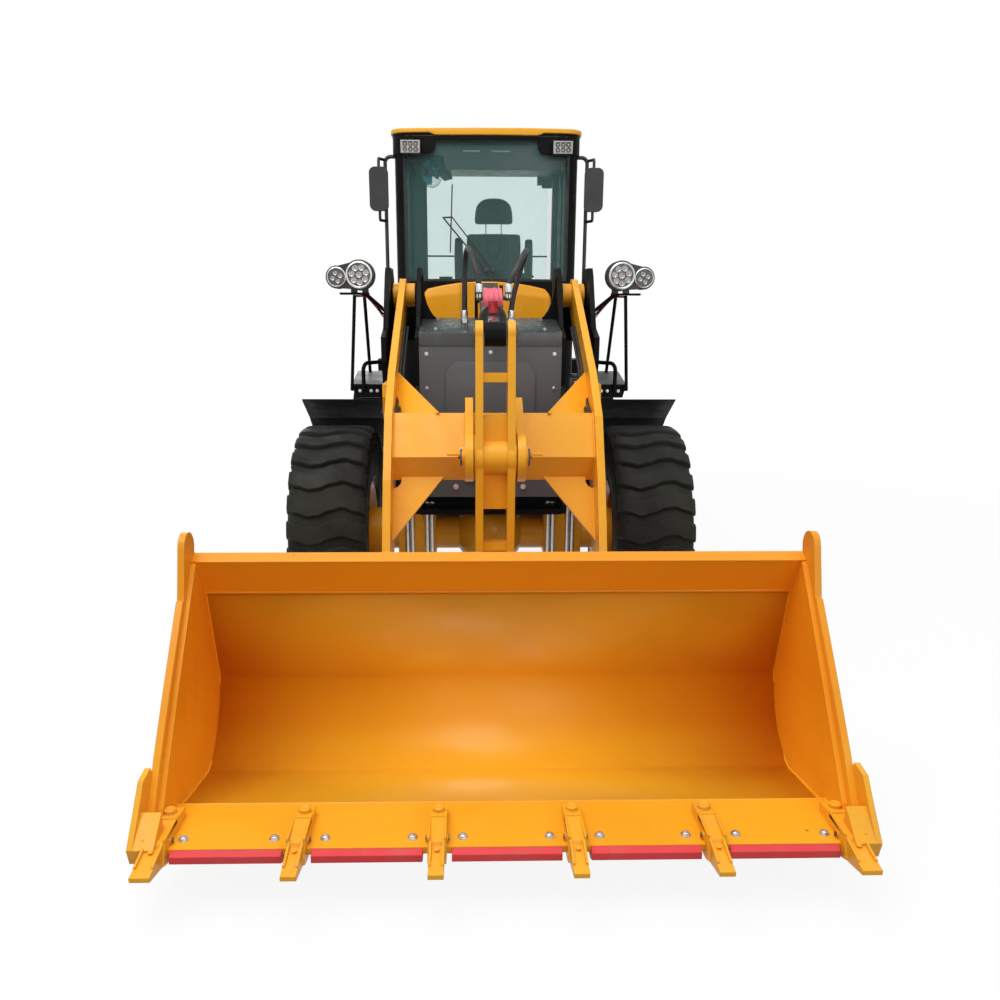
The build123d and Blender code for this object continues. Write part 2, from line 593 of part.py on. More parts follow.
def edge_room():
    """The space the base edge takes, for the pieces that wrap it."""
    return plate([(-2300, 200), (-2300, 230.5), (-2674.5, 226.5), (-2674.5, 200.5), (-2640, 195.5)], -1300, 1300)


def tooth(x, half):
    """Adapter straddling the edge, with its narrower tip and the pin that holds it."""
    adapter = plate([(-2470, 262), (-2560, 272), (-2690, 258), (-2720, 192), (-2680, 178), (-2520, 176)], x - half, x + half)
    point = [(-2650, 250), (-TOOTH_REACH, 228), (-TOOTH_REACH, 212), (-2700, 184), (-2650, 184)]
    tip = plate(point, x - half + 6, x + half - 6)
    ribs = plate([(-2680, 262), (-2790, 240), (-2790, 228), (-2680, 245)], x - half + 6, x - half + 14)
    ribs += plate([(-2680, 262), (-2790, 240), (-2790, 228), (-2680, 245)], x + half - 14, x + half - 6)
    pin = rod_x((-2640, 240), 13, x - half - 5, x + half + 5)
    boss = rod_z(x, -2515, 20, 250, 276)
    return adapter + tip + ribs + pin + boss


def corner_cheek(side):
    """The corner tooth's cheek, up the lower end of the side cutter."""
    pts = [(-2700, 190), (-2715, 250), (-2640, 330), (-2560, 420), (-2490, 430), (-2440, 330), (-2440, 200)]
    x = sorted((side * BUCKET_HALF, side * (BUCKET_HALF + 20)))
    cheek = plate(pts, *x)
    cheek += plate([(-2610, 200), (-2700, 190), (-2715, 250), (-2610, 330)], *sorted((side * 1180, side * (BUCKET_HALF + 1))))
    return cheek


def bucket_teeth():
    body = None
    for x in tooth_places():
        corner = abs(x) > BUCKET_HALF - 100
        one = tooth(x, CORNER_HALF if corner else TOOTH_HALF)
        if corner:
            one += corner_cheek(math.copysign(1, x))
        body = one if body is None else body + one
    return body - edge_room() - bucket()


def wear_segments():
    """Bolted blocks under the edge, between the teeth."""
    pts = [(-2540, 199), (-2640, 195.5), (-2674.5, 200.5), (-2674.5, 224), (-2702, 214), (-2702, 188), (-2665, 170)]
    pts += [(-2540, 174)]
    body = None
    for i in range(TOOTH_N - 1):
        x = (i - (TOOTH_N - 2) / 2) * TOOTH_PITCH
        one = plate(pts, x - SEGMENT_W / 2, x + SEGMENT_W / 2)
        body = one if body is None else body + one
    return body - bucket()


# ---- cylinders ----------------------------------------------------------------------------
def barrel(a, b, r, length, eye_r, eye_x, pin_r, rod_r):
    """Cylinder barrel on the line a to b: an eye at a, bored for its rod up to length."""
    start = Vector(*a)
    body = between(a, b, r, eye_r * 0.5, length)
    body += rod_x((start.Y, start.Z), eye_r, start.X - eye_x, start.X + eye_x)
    bore = between(a, b, rod_r + PIN_GAP, eye_r + 45, length + 1)
    return body - bore - rod_x((start.Y, start.Z), pin_r + PIN_GAP, start.X - 90, start.X + 90)


def piston(a, b, r, start, eye_r, eye_x, pin_r):
    """Rod from start (measured from a) to the eye at b."""
    total = (Vector(*b) - Vector(*a)).length
    end = Vector(*b)
    body = between(a, b, r, start, total - eye_r * 0.5)
    body += rod_x((end.Y, end.Z), eye_r, end.X - eye_x, end.X + eye_x)
    return body - rod_x((end.Y, end.Z), pin_r, end.X - 90, end.X + 90)


def yz(x, at):
    return (x, at[0], at[1])


def elbow(end):
    """Fitting that carries a hose's end from the tilt barrel's side."""
    x, y, z = end
    side = 1 if x > 0 else -1
    low = z - 46
    leg = rod_x((y, low + 16), 13, *sorted((side * 20, x)))
    return leg + rod_z(x, y, HOSE_R + 1, low, z - 0.3)


def cylinders():
    a, b = yz(ARM_X, LIFT_BASE), yz(ARM_X, LIFT_EYE)
    keep("lift_barrels", both(barrel(a, b, 60, 900, 62, 45, LIFT_PIN_R, LIFT_ROD_R)))
    keep("lift_rods", both(piston(a, b, LIFT_ROD_R, 150, 60, 30, LIFT_PIN_R)))
    a, b = yz(0, BOOM_PIN), yz(0, CRANK_TOP)
    elbows = elbow(HOSES[0][-1]) + elbow(HOSES[1][-1]) - between(a, b, 61, 100, 1000)
    keep("tilt_barrel", barrel(a, b, 62, 1000, 75, 55, TILT_PIN_R, TILT_ROD_R) + elbows)
    keep("tilt_rod", piston(a, b, TILT_ROD_R, 560, 58, 50, LINK_PIN_R))
    for name, side in (("left", 1), ("right", -1)):
        a = (side * STEER_BASE[0], STEER_BASE[1], STEER_Z)
        b = (side * STEER_EYE[0], STEER_EYE[1], STEER_Z)
        keep(f"steer_barrel_{name}", steer_barrel(a, b))
        keep(f"steer_rod_{name}", steer_rod(a, b))


def steer_barrel(a, b):
    body = between(a, b, 42, 25, 580) + rod_z(a[0], a[1], 45, a[2] - 42, a[2] + 42)
    pin = rod_z(a[0], a[1], STEER_PIN_R + PIN_GAP, a[2] - 60, a[2] + 60)
    return body - between(a, b, STEER_ROD_R + PIN_GAP, 70, 581) - pin


def steer_rod(a, b):
    total = (Vector(*b) - Vector(*a)).length
    body = between(a, b, STEER_ROD_R, 320, total - 25) + rod_z(b[0], b[1], 42, b[2] - 20, b[2] + 20)
    return body - rod_z(b[0], b[1], STEER_PIN_R, b[2] - 60, b[2] + 60)


# ---- rear frame ---------------------------------------------------------------------------
def rear_frame():
    front, axle, end = FRAME_FRONT, REAR_AXLE_Y, FRAME_END
    side = [(front, 640), (axle - 400, 640), (axle - 400, AXLE_Z + 140), (axle + 400, AXLE_Z + 140)]
    side += [(axle + 400, FRAME_BOTTOM), (end, FRAME_BOTTOM), (end, FRAME_TOP), (front + 740, FRAME_TOP)]
    side += [(front + 440, 1250), (front, 1250)]
    body = both(plate(side, FRAME_HALF - FRAME_T, FRAME_HALF))
    inside = (-FRAME_HALF + FRAME_T, FRAME_HALF - FRAME_T)
    body += box(inside, (axle - 550, axle - 525), (800, FRAME_TOP)) + box(inside, (axle + 450, axle + 480), (640, FRAME_TOP))
    body += box(inside, (end - 30, end), (640, FRAME_TOP))
    for z in (HINGE_LOW, HINGE_HIGH):
        for z0, z1 in ((z[0] - CLEAR - 35, z[0] - CLEAR), (z[1] + CLEAR, z[1] + CLEAR + 35)):
            eye = plate_xy([(-270, front + 30), (270, front + 30), (110, HINGE_Y - 20), (-110, HINGE_Y - 20)], z0, z1)
            body += eye + rod_z(0, HINGE_Y, 115, z0, z1)
        body += rod_z(0, HINGE_Y, 60, z[0] - CLEAR - 35, z[1] + CLEAR + 35)
    body += box(inside, (front, front + 30), (560, 1250))
    body -= rod_y(0, AXLE_Z, 60, front - 60, front + 140)
    x, y = STEER_BASE
    for z0, z1 in ((STEER_Z - 72, STEER_Z - 44), (STEER_Z + 44, STEER_Z + 72)):
        ear = [(FRAME_HALF, y - 80), (x + 50, y - 40), (x + 50, y + 40), (FRAME_HALF, y + 140)]
        body += both(plate_xy(ear, z0, z1))
    body += both(rod_z(x, y, STEER_PIN_R, STEER_Z - 72, STEER_Z + 72))
    body -= both(box((140, FRAME_HALF + 5), (front - 10, y - 90), (STEER_Z - 70, STEER_Z + 70)))
    body += both(box((FRAME_HALF, 520), (axle - 270, axle + 270), (AXLE_Z + 135, AXLE_Z + 165)))
    under = (1000, CAB_FLOOR_Z - 60)
    body += both(box((FRAME_HALF - 5, CAB_HALF - 100), (CAB_FRONT + 470, CAB_FRONT + 530), (1180, CAB_FLOOR_Z - 60)))
    body += both(box((FRAME_HALF - 5, CAB_HALF - 100), (CAB_REAR - 260, CAB_REAR - 200), under))
    body += both(box((FRAME_HALF, 440), (axle + 550, axle + 610), (950, HOOD_BOTTOM)))
    return body


TOW_Z = (830.0, 970.0)        # outer faces of the tow clevis
TOW_R = 22.0


def counterweight():
    """Rear casting with round corners and a tow clevis in its recess."""
    end = REAR_END
    pts = [(end - 450, 1080), (end - 450, 1500), (end - 150, 1500), (end - 40, 1440), (end, 1300), (end, 800)]
    pts += [(end - 70, 640), (end - 340, 640), (end - 340, 1080)]
    body = plate(pts, -CW_HALF, CW_HALF)
    body &= Pos(0, end - 450, 1000) * extrude(RectangleRounded(2 * CW_HALF, 900, 170), 800, both=True)
    body -= both(box((CW_HALF - 230, CW_HALF + 10), (end - 600, end - 250), (500, 1250)))
    body -= box((-130, 130), (end - 190, end + 10), (600, 1100))
    for z in (TOW_Z[0], TOW_Z[1] - 30):
        body += box((-70, 70), (end - 191, end - 20), (z, z + 30))
    for z in (1180, 1330):
        body -= box((-700, 700), (end - 12, end + 10), (z, z + 40))
    return body - rod_z(0, end - 85, TOW_R, *TOW_Z)


def engine():
    inner = FRAME_HALF - FRAME_T
    y = (HOOD_FRONT + 250, HOOD_END - 580)
    return box((-inner, inner), y, (FRAME_TOP, 1900)) + box((-200, 200), (y[0], REAR_AXLE_Y + 440), (890, FRAME_TOP))


def hood():
    """Top and rear shell of the engine hood, open below and at its two side doors."""
    end, front = HOOD_END, HOOD_FRONT
    top = [(front, HOOD_TOP), (end - 180, HOOD_TOP - 90), (end - 30, HOOD_TOP - 250), (end, 1510)]
    top += [(end - 40, 1510), (end - 68, HOOD_TOP - 262), (end - 198, HOOD_TOP - 122), (front, HOOD_TOP - HOOD_T)]
    body = plate(top, -HOOD_HALF, HOOD_HALF)
    body += box((-HOOD_HALF, HOOD_HALF), (front, front + 30), (HOOD_BOTTOM, HOOD_TOP - 5))
    wall = (HOOD_HALF - HOOD_T, HOOD_HALF)
    side = plate([(front, HOOD_TOP - 270), (front, HOOD_TOP - 1), (end - 185, HOOD_TOP - 92), (end - 40, HOOD_TOP - 250)]
                 + [(end - 30, HOOD_TOP - 270)], *wall)
    side += plate([(end - 330, 1500), (end - 20, 1500), (end - 35, HOOD_TOP - 265), (end - 330, HOOD_TOP - 265)], *wall)
    side += box(wall, (front, end - 330), (HOOD_BOTTOM, DOOR_LOW - CLEAR))
    post = (REAR_AXLE_Y + 550, REAR_AXLE_Y + 610)
    side += box((FRAME_HALF, HOOD_HALF), post, (HOOD_BOTTOM, HOOD_BOTTOM + 30))
    body += both(side + hood_pins())
    for i in range(5):
        y = front + 330 + i * 60
        z = HOOD_TOP - (y - front) * 90 / (end - 180 - front)
        body += plate([(y, z - 10), (y + 26, z + 16), (y + 30, z - 12)], -230, 230)
    return body - hood_window()


HOOD_PIN = (HOOD_HALF + 17, HOOD_TOP - 273)    # (x, z) of a side door's hinge line
HOOD_HINGES = (HOOD_FRONT + 220, HOOD_END - 530)    # y of its two hinges


def hood_knuckles():
    body = None
    for y in HOOD_HINGES:
        one = rod_y(*HOOD_PIN, KNUCKLE_R, y - KNUCKLE_HALF, y + KNUCKLE_HALF)
        one += box((HOOD_HALF, HOOD_PIN[0] - 4), (y - KNUCKLE_HALF, y + KNUCKLE_HALF), (HOOD_PIN[1] - 50, HOOD_PIN[1] - 8))
        one -= rod_y(*HOOD_PIN, HINGE_PIN_R + PIN_GAP, y - 60, y + 60)
        body = one if body is None else body + one
    return body


def hood_pins():
    body = None
    for y in HOOD_HINGES:
        one = rod_y(*HOOD_PIN, HINGE_PIN_R, y - KNUCKLE_HALF - 16, y + KNUCKLE_HALF + 16)
        for y0 in (y - KNUCKLE_HALF - 16, y + KNUCKLE_HALF + 2):
            one += box((HOOD_HALF, HOOD_PIN[0] + HINGE_PIN_R), (y0, y0 + 14), (HOOD_PIN[1] + 4, HOOD_PIN[1] + 45))
            one += box((HOOD_PIN[0] - HINGE_PIN_R, HOOD_PIN[0] + HINGE_PIN_R), (y0, y0 + 14), (HOOD_PIN[1], HOOD_PIN[1] + 10))
        body = one if body is None else body + one
    return body


def hood_doors():
    """Side doors with a field of cooling louvres, and a latch."""
    y0, y1 = HOOD_FRONT + 40, HOOD_END - 340
    top = HOOD_TOP - 276
    door = box((HOOD_HALF - 25, HOOD_HALF), (y0, y1), (DOOR_LOW, top))
    for i in range(9):
        z = DOOR_LOW + 70 + i * (top - DOOR_LOW - 170) / 9
        rib = plate_xz([(HOOD_HALF - 1, z), (HOOD_HALF + 14, z), (HOOD_HALF + 14, z + 8), (HOOD_HALF - 1, z + 26)], y1 - 720, y1 - 130)
        door += rib
    door += box((HOOD_HALF, HOOD_HALF + 16), (y0 + 220, y0 + 340), (DOOR_LOW + 60, DOOR_LOW + 96))
    door += hood_knuckles()
    keep("hood_door_left", door)
    keep("hood_door_right", mirror(door, about=Plane.YZ))


def rear_grille():
    y = HOOD_END - 60
    body = box((-430, 430), (y, y + 30), (1600, 1900)) - box((-400, 400), (y - 70, y + 100), (1630, 1870))
    for i in range(9):
        z = 1636 + i * 26
        body += box((-401, 401), (y + 5, y + 25), (z, z + 12))
    return body & hood_window()


def hood_window():
    return box((-430, 430), (HOOD_END - 130, HOOD_END + 70), (1600, 1900))


def step_tanks():
    """Tank with steps in its face, outside each side of the frame."""
    y0, y1 = REAR_AXLE_Y - 1130, REAR_AXLE_Y - 720
    tank = box((570, 900), (y0, y1), (560, CAB_FLOOR_Z - 60)) - box((700, 901), (y0 - 1, y1 + 1), (900, CAB_FLOOR_Z - 59))
    for z in (480, 780):
        tank += box((880, 960), (y0 + 40, y1 - 40), (z, z + 30)) - box((905, 940), (y0 + 70, y1 - 70), (z + 12, z + 31))
    tank += box((880, 905), (y0 + 40, y0 + 70), (480, 810)) + box((880, 905), (y1 - 70, y1 - 40), (480, 810))
    tank += box((FRAME_HALF, 570), (y0 + 180, y0 + 240), (660, 740))
    return both(tank)


def rear_fenders():
    r_in, y = TYRE_R + 110, REAR_AXLE_Y
    ring = Rot(0, 90, 0) * (Cylinder(r_in + 12, 400) - Cylinder(r_in, 400))
    arch = Pos(920, y, AXLE_Z) * ring
    arch &= box((600, 1120), (y - 690, y + 690), (AXLE_Z + 330, AXLE_Z + 900))
    lip = Pos(1114, y, AXLE_Z) * Rot(0, 90, 0) * (Cylinder(r_in + 12, 12) - Cylinder(r_in - 28, 12))
    arch += lip & box((600, 1130), (y - 690, y + 690), (AXLE_Z + 330, AXLE_Z + 900))
    arch += box((HOOD_HALF + 14, 722), (y - 50, y + 50), (1420, 1440))
    arch += box((HOOD_HALF, HOOD_HALF + 14), (y - 150, y - 114), (1360, 1440)) + box((HOOD_HALF, 740), (y - 150, y - 114), (1420, 1436))
    return both(arch)


# ---- cab ----------------------------------------------------------------------------------
def cab_plan(inset, z0, z1):
    """Solid with the cab's outline seen from above, inset all round, from z0 to z1."""
    w, y0, y1 = CAB_HALF - inset, CAB_FRONT + inset, CAB_REAR - inset
    line = Polyline((w, y0, z0), (w, y1, z0), (-w, y1, z0), (-w, y0, z0))
    line += ThreePointArc((-w, y0, z0), (0, y0 - CAB_BOW, z0), (w, y0, z0))
    body = extrude(make_face(line), z1 - z0, dir=(0, 0, 1))
    return fillet(body.edges().filter_by(Axis.Z), CAB_CORNER - inset)


def cab_floor():
    body = cab_plan(0, CAB_FLOOR_Z - 60, CAB_FLOOR_Z)
    y = (REAR_AXLE_Y - 1150, REAR_AXLE_Y - 690)
    return body + both(box((CAB_HALF - 1, 980), y, (CAB_FLOOR_Z - 40, CAB_FLOOR_Z)))


def cab_frame():
    """Lower walls and posts, one welded piece under the roof, with the visor over the front window."""
    shell = cab_plan(0, CAB_FLOOR_Z, ROOF_Z) - cab_plan(PANEL_T, CAB_FLOOR_Z - 1, ROOF_Z + 1)
    half = CAB_HALF - POST
    front = (CAB_FRONT - CAB_BOW - 1, CAB_FRONT + PANEL_T + 22)
    shell -= box((-half, half), front, (SILL_Z, ROOF_Z - 20))
    shell -= box((-half, half), (CAB_REAR - PANEL_T - 22, CAB_REAR + 1), (SILL_Z - 50, ROOF_Z - 60))
    shell -= both(box((CAB_HALF - 60, CAB_HALF + 1), DOOR_Y, (CAB_FLOOR_Z - 1, ROOF_Z - 40)))
    window = (DOOR_Y[1] + POST, CAB_REAR - CAB_CORNER - 10)
    shell -= both(box((CAB_HALF - 60, CAB_HALF + 1), window, (SILL_Z - 50, ROOF_Z - 60)))
    visor = cab_plan(-12, ROOF_Z - 26, ROOF_Z) - cab_plan(1, ROOF_Z - 60, ROOF_Z + 10)
    visor &= box((-CAB_HALF - 60, CAB_HALF + 60), (CAB_FRONT - 200, CAB_FRONT + 60), (ROOF_Z - 50, ROOF_Z))
    housing = cab_plan(-12, ROOF_Z - 112, ROOF_Z + CORNER_LIFT) - cab_plan(1, ROOF_Z - 120, ROOF_Z)
    return shell + visor + (housing & corner_room(ROOF_Z - 112)) + both(door_pins())


def corner_room(low):
    """Space of the two housings over the cab's front corners, from low up into the roof's rim."""
    top = ROOF_Z + CORNER_LIFT
    end = CAB_HALF + 60
    face = [(CORNER_X + 28, low), (CORNER_X, low + 30), (CORNER_X, ROOF_Z - 1), (CORNER_X + 36, top), (end, top), (end, low)]
    return both(plate_xz(face, CAB_FRONT - 200, DOOR_Y[0] - 12))


def cab_nose():
    """Arched, round-cornered panel in front of the cab, under the window, with a set-back middle."""
    low, top = SILL_Z - 265, SILL_Z - 2
    sheet = cab_plan(-26, low, top) - cab_plan(0, low - 20, top + 20)
    sheet -= (cab_plan(-40, low - 1, top + 1) - cab_plan(-16, low - 2, top + 2)) & box((-180, 180), (0, CAB_FRONT), (low, top))
    w = CAB_HALF - 170
    line = Polyline((-w + 55, 0, top - 50), (-w, 0, top - 110), (-w, 0, low + 75), (-w + 75, 0, low), (w - 75, 0, low),
                    (w, 0, low + 75), (w, 0, top - 110), (w - 55, 0, top - 50))
    line += ThreePointArc((-w + 55, 0, top - 50), (0, 0, top), (w - 55, 0, top - 50))
    return sheet & Pos(0, CAB_FRONT, 0) * extrude(make_face(line), 160, dir=(0, -1, 0))


DOOR_PIN = (CAB_HALF + 18, DOOR_Y[1])    # (x, y) of the door's hinge line
DOOR_HINGES = (1520.0, ROOF_Z - 210)     # z of the two hinges


def door_knuckles():
    body = None
    for z in DOOR_HINGES:
        one = rod_z(*DOOR_PIN, KNUCKLE_R, z - KNUCKLE_HALF, z + KNUCKLE_HALF)
        one += box((CAB_HALF, DOOR_PIN[0] - 4), (DOOR_PIN[1] - 60, DOOR_PIN[1] - 8), (z - KNUCKLE_HALF, z + KNUCKLE_HALF))
        one -= rod_z(*DOOR_PIN, HINGE_PIN_R + PIN_GAP, z - 60, z + 60)
        body = one if body is None else body + one
    return body


def door_pins():
    body = None
    for z in DOOR_HINGES:
        one = rod_z(*DOOR_PIN, HINGE_PIN_R, z - KNUCKLE_HALF - 16, z + KNUCKLE_HALF + 16)
        for z0 in (z - KNUCKLE_HALF - 16, z + KNUCKLE_HALF + 2):
            one += box((CAB_HALF, DOOR_PIN[0] + HINGE_PIN_R), (DOOR_PIN[1], DOOR_PIN[1] + 45), (z0, z0 + 14))
        body = one if body is None else body + one
    return body


def cab_doors():
    """Doors with a window down to below the sill, a grab bar inside and a handle."""
    y0, y1 = DOOR_Y[0] + CLEAR, DOOR_Y[1] - CLEAR
    z0, z1 = CAB_FLOOR_Z + CLEAR, ROOF_Z - 40 - CLEAR
    door = box((CAB_HALF - 35, CAB_HALF), (y0, y1), (z0, z1))
    hole = box((CAB_HALF - 60, CAB_HALF + 60), (y0 + 60, y1 - 60), (z0 + 330, z1 - 60))
    glass = box((CAB_HALF - 22, CAB_HALF - 22 + GLASS_T), (y0 + 60, y1 - 60), (z0 + 330, z1 - 60))
    door = door - hole + door_knuckles()
    door += box((CAB_HALF, CAB_HALF + 22), (y0 + 14, y0 + 46), (z0 + 520, z0 + 680))
    keep("cab_door_left", door)
    keep("cab_door_right", mirror(door, about=Plane.YZ))
    keep("door_glass_left", glass)
    keep("door_glass_right", mirror(glass, about=Plane.YZ))


def cab_glass():
    half = CAB_HALF - POST
    front = cab_plan(10, SILL_Z, ROOF_Z - 20) - cab_plan(10 + GLASS_T, SILL_Z - 1, ROOF_Z)
    front &= box((-half, half), (CAB_FRONT - 100, CAB_FRONT + 100), (SILL_Z, ROOF_Z - 20))
    rear = box((-half + 25, half - 25), (CAB_REAR - 25, CAB_REAR - 25 + GLASS_T), (SILL_Z - 50, ROOF_Z - 60))
    rear += both(box((half - 30, half), (CAB_REAR - 25, CAB_REAR - 25 + GLASS_T), (SILL_Z - 50, ROOF_Z - 60)))
    window = (DOOR_Y[1] + POST, CAB_REAR - CAB_CORNER - 10)
    side = box((CAB_HALF - 25, CAB_HALF - 25 + GLASS_T), window, (SILL_Z - 50, ROOF_Z - 60))
    return front + rear + both(side)


def cab_roof():
    """Cap with a rim, thinner over the corner housings, and a raised middle."""
    body = cab_plan(-24, ROOF_Z, ROOF_Z + ROOF_LIP) + cab_plan(34, ROOF_Z + ROOF_LIP - 1, CAB_TOP)
    return body - (corner_room(ROOF_Z - 112) & cab_plan(-30, ROOF_Z - 2, ROOF_Z + CORNER_LIFT))


def work_lamps():
    """Square lamps under the roof's corners, front and rear."""
    z0, z1 = ROOF_Z - 122, ROOF_Z - 42
    front = both(box((454, 584), (CAB_FRONT - 105, CAB_FRONT - 20), (z0, z1)))
    rear = both(box((454, 584), (CAB_REAR, CAB_REAR + 60), (z0 - 5, z1 - 10)))
    return front + rear - cab_frame()


def rear_lamps():
    return both(box((760, 960), (REAR_END - 200, REAR_END - 140), (1500, 1580)))


def mirrors():
    """Mirrors on bent brackets, with the upright grab rails at the front posts."""
    y = CAB_FRONT + 70
    rail_x = CAB_HALF + 68
    x, high, low = rail_x + 37, ROOF_Z - 140, ROOF_Z - 540
    head = Pos(x, CAB_FRONT - 45, high - 203) * Rot(90, 0, 0) * extrude(RectangleRounded(130, 285, 40), 15, both=True)
    arm = tube([(rail_x, y, high), (x, y - 60, high), (x, CAB_FRONT - 20, high), (x, CAB_FRONT - 20, low)]
               + [(x, y - 60, low), (rail_x, y, low)], 20, 22)
    top = ROOF_Z - 118
    rail = tube([(CAB_HALF, y, 1520), (rail_x, y, 1520), (rail_x, y, top), (CAB_HALF, y, top)], 26, 40)
    return both(head + arm + rail) - cab_frame()


def seat():
    y = CAB_REAR - 360
    body = box((-250, 250), (y - 250, y + 200), (1780, 1900)) + box((-240, 240), (y + 130, y + 250), (1895, 2500))
    body += box((-140, 140), (y + 160, y + 240), (2540, 2700)) + box((-180, 180), (y - 210, y + 160), (CAB_FLOOR_Z, 1785))
    body += both(rod_z(80, y + 200, 9, 2490, 2550))
    body += both(box((280, 360), (y - 250, y + 180), (1990, 2050)) + box((239, 290), (y + 130, y + 180), (1990, 2050)))
    return body


def steering_column():
    y = CAB_FRONT + 270
    body = between((0, y, CAB_FLOOR_Z - 20), (0, y + 140, 2080), 45, 0, 770)
    turn = Plane(origin=(0, y + 140, 2080), z_dir=(0, 0.35, 1))
    wheel = turn * (Torus(190, 16) + Cylinder(40, 60) + Box(370, 30, 14))
    return body + wheel - box((-200, 200), (y - 150, y + 150), (CAB_FLOOR_Z - 100, CAB_FLOOR_Z))


def stacks():
    low = HOOD_TOP - HOOD_T
    y = HOOD_FRONT + 250
    pipes = rod_z(-330, y, 60, low, 2750) + rod_z(330, y, 70, low, 2520) + rod_z(330, y, 130, 2520, 2660)
    return pipes - hood()


def tilt_hoses():
    """Hose loops from the bosses on the top plate to the elbows on the tilt cylinder."""
    return arc_tube(HOSES[0], HOSE_R) + arc_tube(HOSES[1], HOSE_R)


# ---- nodes --------------------------------------------------------------------------------
wheels()
axles()
keep("front_frame", front_frame())
keep("axle_pads", axle_pads())
keep("tower_covers", tower_covers())
keep("front_fenders", front_fenders())
keep("side_boxes", side_box())
keep("lamp_posts", lamp_posts())
keep("head_lamps", head_lamps() - lamp_posts())
keep("boom", boom())
keep("bellcrank", bellcrank())
keep("link", link())
keep("bucket", bucket())
keep("bucket_teeth", bucket_teeth())
keep("wear_segments", wear_segments())
cylinders()
keep("rear_frame", rear_frame())
keep("counterweight", counterweight())
keep("engine_block", engine())
keep("hood", hood())
hood_doors()
keep("rear_grille", rear_grille())
keep("step_tanks", step_tanks())
keep("rear_fenders", rear_fenders())
keep("cab_floor", cab_floor())
keep("cab_frame", cab_frame())
keep("cab_nose", cab_nose())
cab_doors()
keep("cab_glass", cab_glass())
keep("cab_roof", cab_roof())
keep("work_lamps", work_lamps())
keep("rear_lamps", rear_lamps())
keep("mirrors", mirrors())
keep("seat", seat())
keep("steering_column", steering_column())
keep("stacks", stacks())
keep("tilt_hoses", tilt_hoses())
export()
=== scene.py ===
from math import atan2, cos, hypot, pi, radians, sin, sqrt

import bmesh
import bpy
from mathutils import Matrix, Vector


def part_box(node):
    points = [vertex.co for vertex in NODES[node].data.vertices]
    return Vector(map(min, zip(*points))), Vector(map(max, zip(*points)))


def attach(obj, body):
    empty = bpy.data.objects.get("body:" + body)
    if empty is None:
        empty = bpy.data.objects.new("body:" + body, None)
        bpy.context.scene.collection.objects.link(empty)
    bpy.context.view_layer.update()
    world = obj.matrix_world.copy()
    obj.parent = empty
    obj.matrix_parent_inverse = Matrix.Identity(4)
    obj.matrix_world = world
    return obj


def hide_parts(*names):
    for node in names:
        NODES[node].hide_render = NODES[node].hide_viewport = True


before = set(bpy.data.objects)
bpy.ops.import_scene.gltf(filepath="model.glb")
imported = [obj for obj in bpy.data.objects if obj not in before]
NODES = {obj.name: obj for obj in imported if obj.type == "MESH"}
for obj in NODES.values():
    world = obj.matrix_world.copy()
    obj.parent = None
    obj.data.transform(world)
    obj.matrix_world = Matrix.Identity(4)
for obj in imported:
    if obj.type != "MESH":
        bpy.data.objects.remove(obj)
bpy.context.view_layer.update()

# ---- places taken from the frame ------------------------------------------------------------
TYRE_LOW, TYRE_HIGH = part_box("tyre_front_left")
FRONT_Y = (TYRE_LOW[1] + TYRE_HIGH[1]) / 2
REAR_Y = sum(corner[1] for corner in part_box("tyre_rear_left")) / 2
AXLE_Z = 0.656                # the wheels' centre above the ground
HALF_TRACK = (TYRE_LOW[0] + TYRE_HIGH[0]) / 2
TYRE_W = TYRE_HIGH[0] - TYRE_LOW[0]


SIDES = ((1, "left"), (-1, "right"))
UP = (0, 0, 1)
AHEAD = (0, -1, 0)


def at(x, y, z):
    """A point from its place relative to the front axle."""
    return Vector((x, FRONT_Y + y, z))


# ---- camera ---------------------------------------------------------------------------------
CAMERA_BACK = 5.223           # from the front axle, towards the bucket
CAMERA_UP = 1.982             # above the ground, and to the side of the middle
CAMERA_SIDE = -0.124
PITCH_DOWN = 15.486           # degrees
YAW = 1.208
ROLL = 0.158
LENS = 30.93                  # millimetres, for a 36 mm sensor


def make_camera():
    """The photograph's camera."""
    data = bpy.data.cameras.new("camera")
    data.lens = LENS
    data.sensor_width = 36.0
    data.shift_x = 0.0128
    data.shift_y = 0.0496
    data.clip_end = 200.0
    cam = bpy.data.objects.new("camera", data)
    turn = Matrix.Rotation(radians(-YAW), 4, "Z")
    tilt = Matrix.Rotation(radians(90.0 - PITCH_DOWN), 4, "X")
    roll = Matrix.Rotation(radians(ROLL), 4, "Z")
    place = Matrix.Translation((CAMERA_SIDE, FRONT_Y - CAMERA_BACK, CAMERA_UP))
    cam.matrix_world = place @ turn @ tilt @ roll
    bpy.context.scene.collection.objects.link(cam)
    bpy.context.scene.camera = cam


# ---- stage and light ------------------------------------------------------------------------
WHITE_FROM = 4.5              # the floor is plain white, with no shade, from here outwards
WHITE_FULL = 7.5
WHITE_SHARE = 0.90            # of the floor's look near the machine; the rest takes its shadow
FLOOR_BOUNCE = 0.30           # how much light the floor throws back up
SKY_LOW, SKY_HIGH = 0.28, 0.66   # light from the horizon and from overhead


def area_light(name, spot, aim, size, power, tint=(1, 1, 1)):
    """A soft square lamp that doesn't show through glass."""
    data = bpy.data.lights.new(name, "AREA")
    data.size = size
    data.energy = power
    data.color = tint
    lamp = bpy.data.objects.new(name, data)
    direction = Vector(aim) - Vector(spot)
    turn = direction.to_track_quat("-Z", "Y").to_matrix().to_4x4()
    lamp.matrix_world = Matrix.Translation(spot) @ turn
    bpy.context.scene.collection.objects.link(lamp)
    lamp.visible_transmission = False


def dial(node, **values):
    """Set a node's sockets by name, with _ for a space."""
    for key, value in values.items():
        node.inputs[key.replace("_", " ")].default_value = value


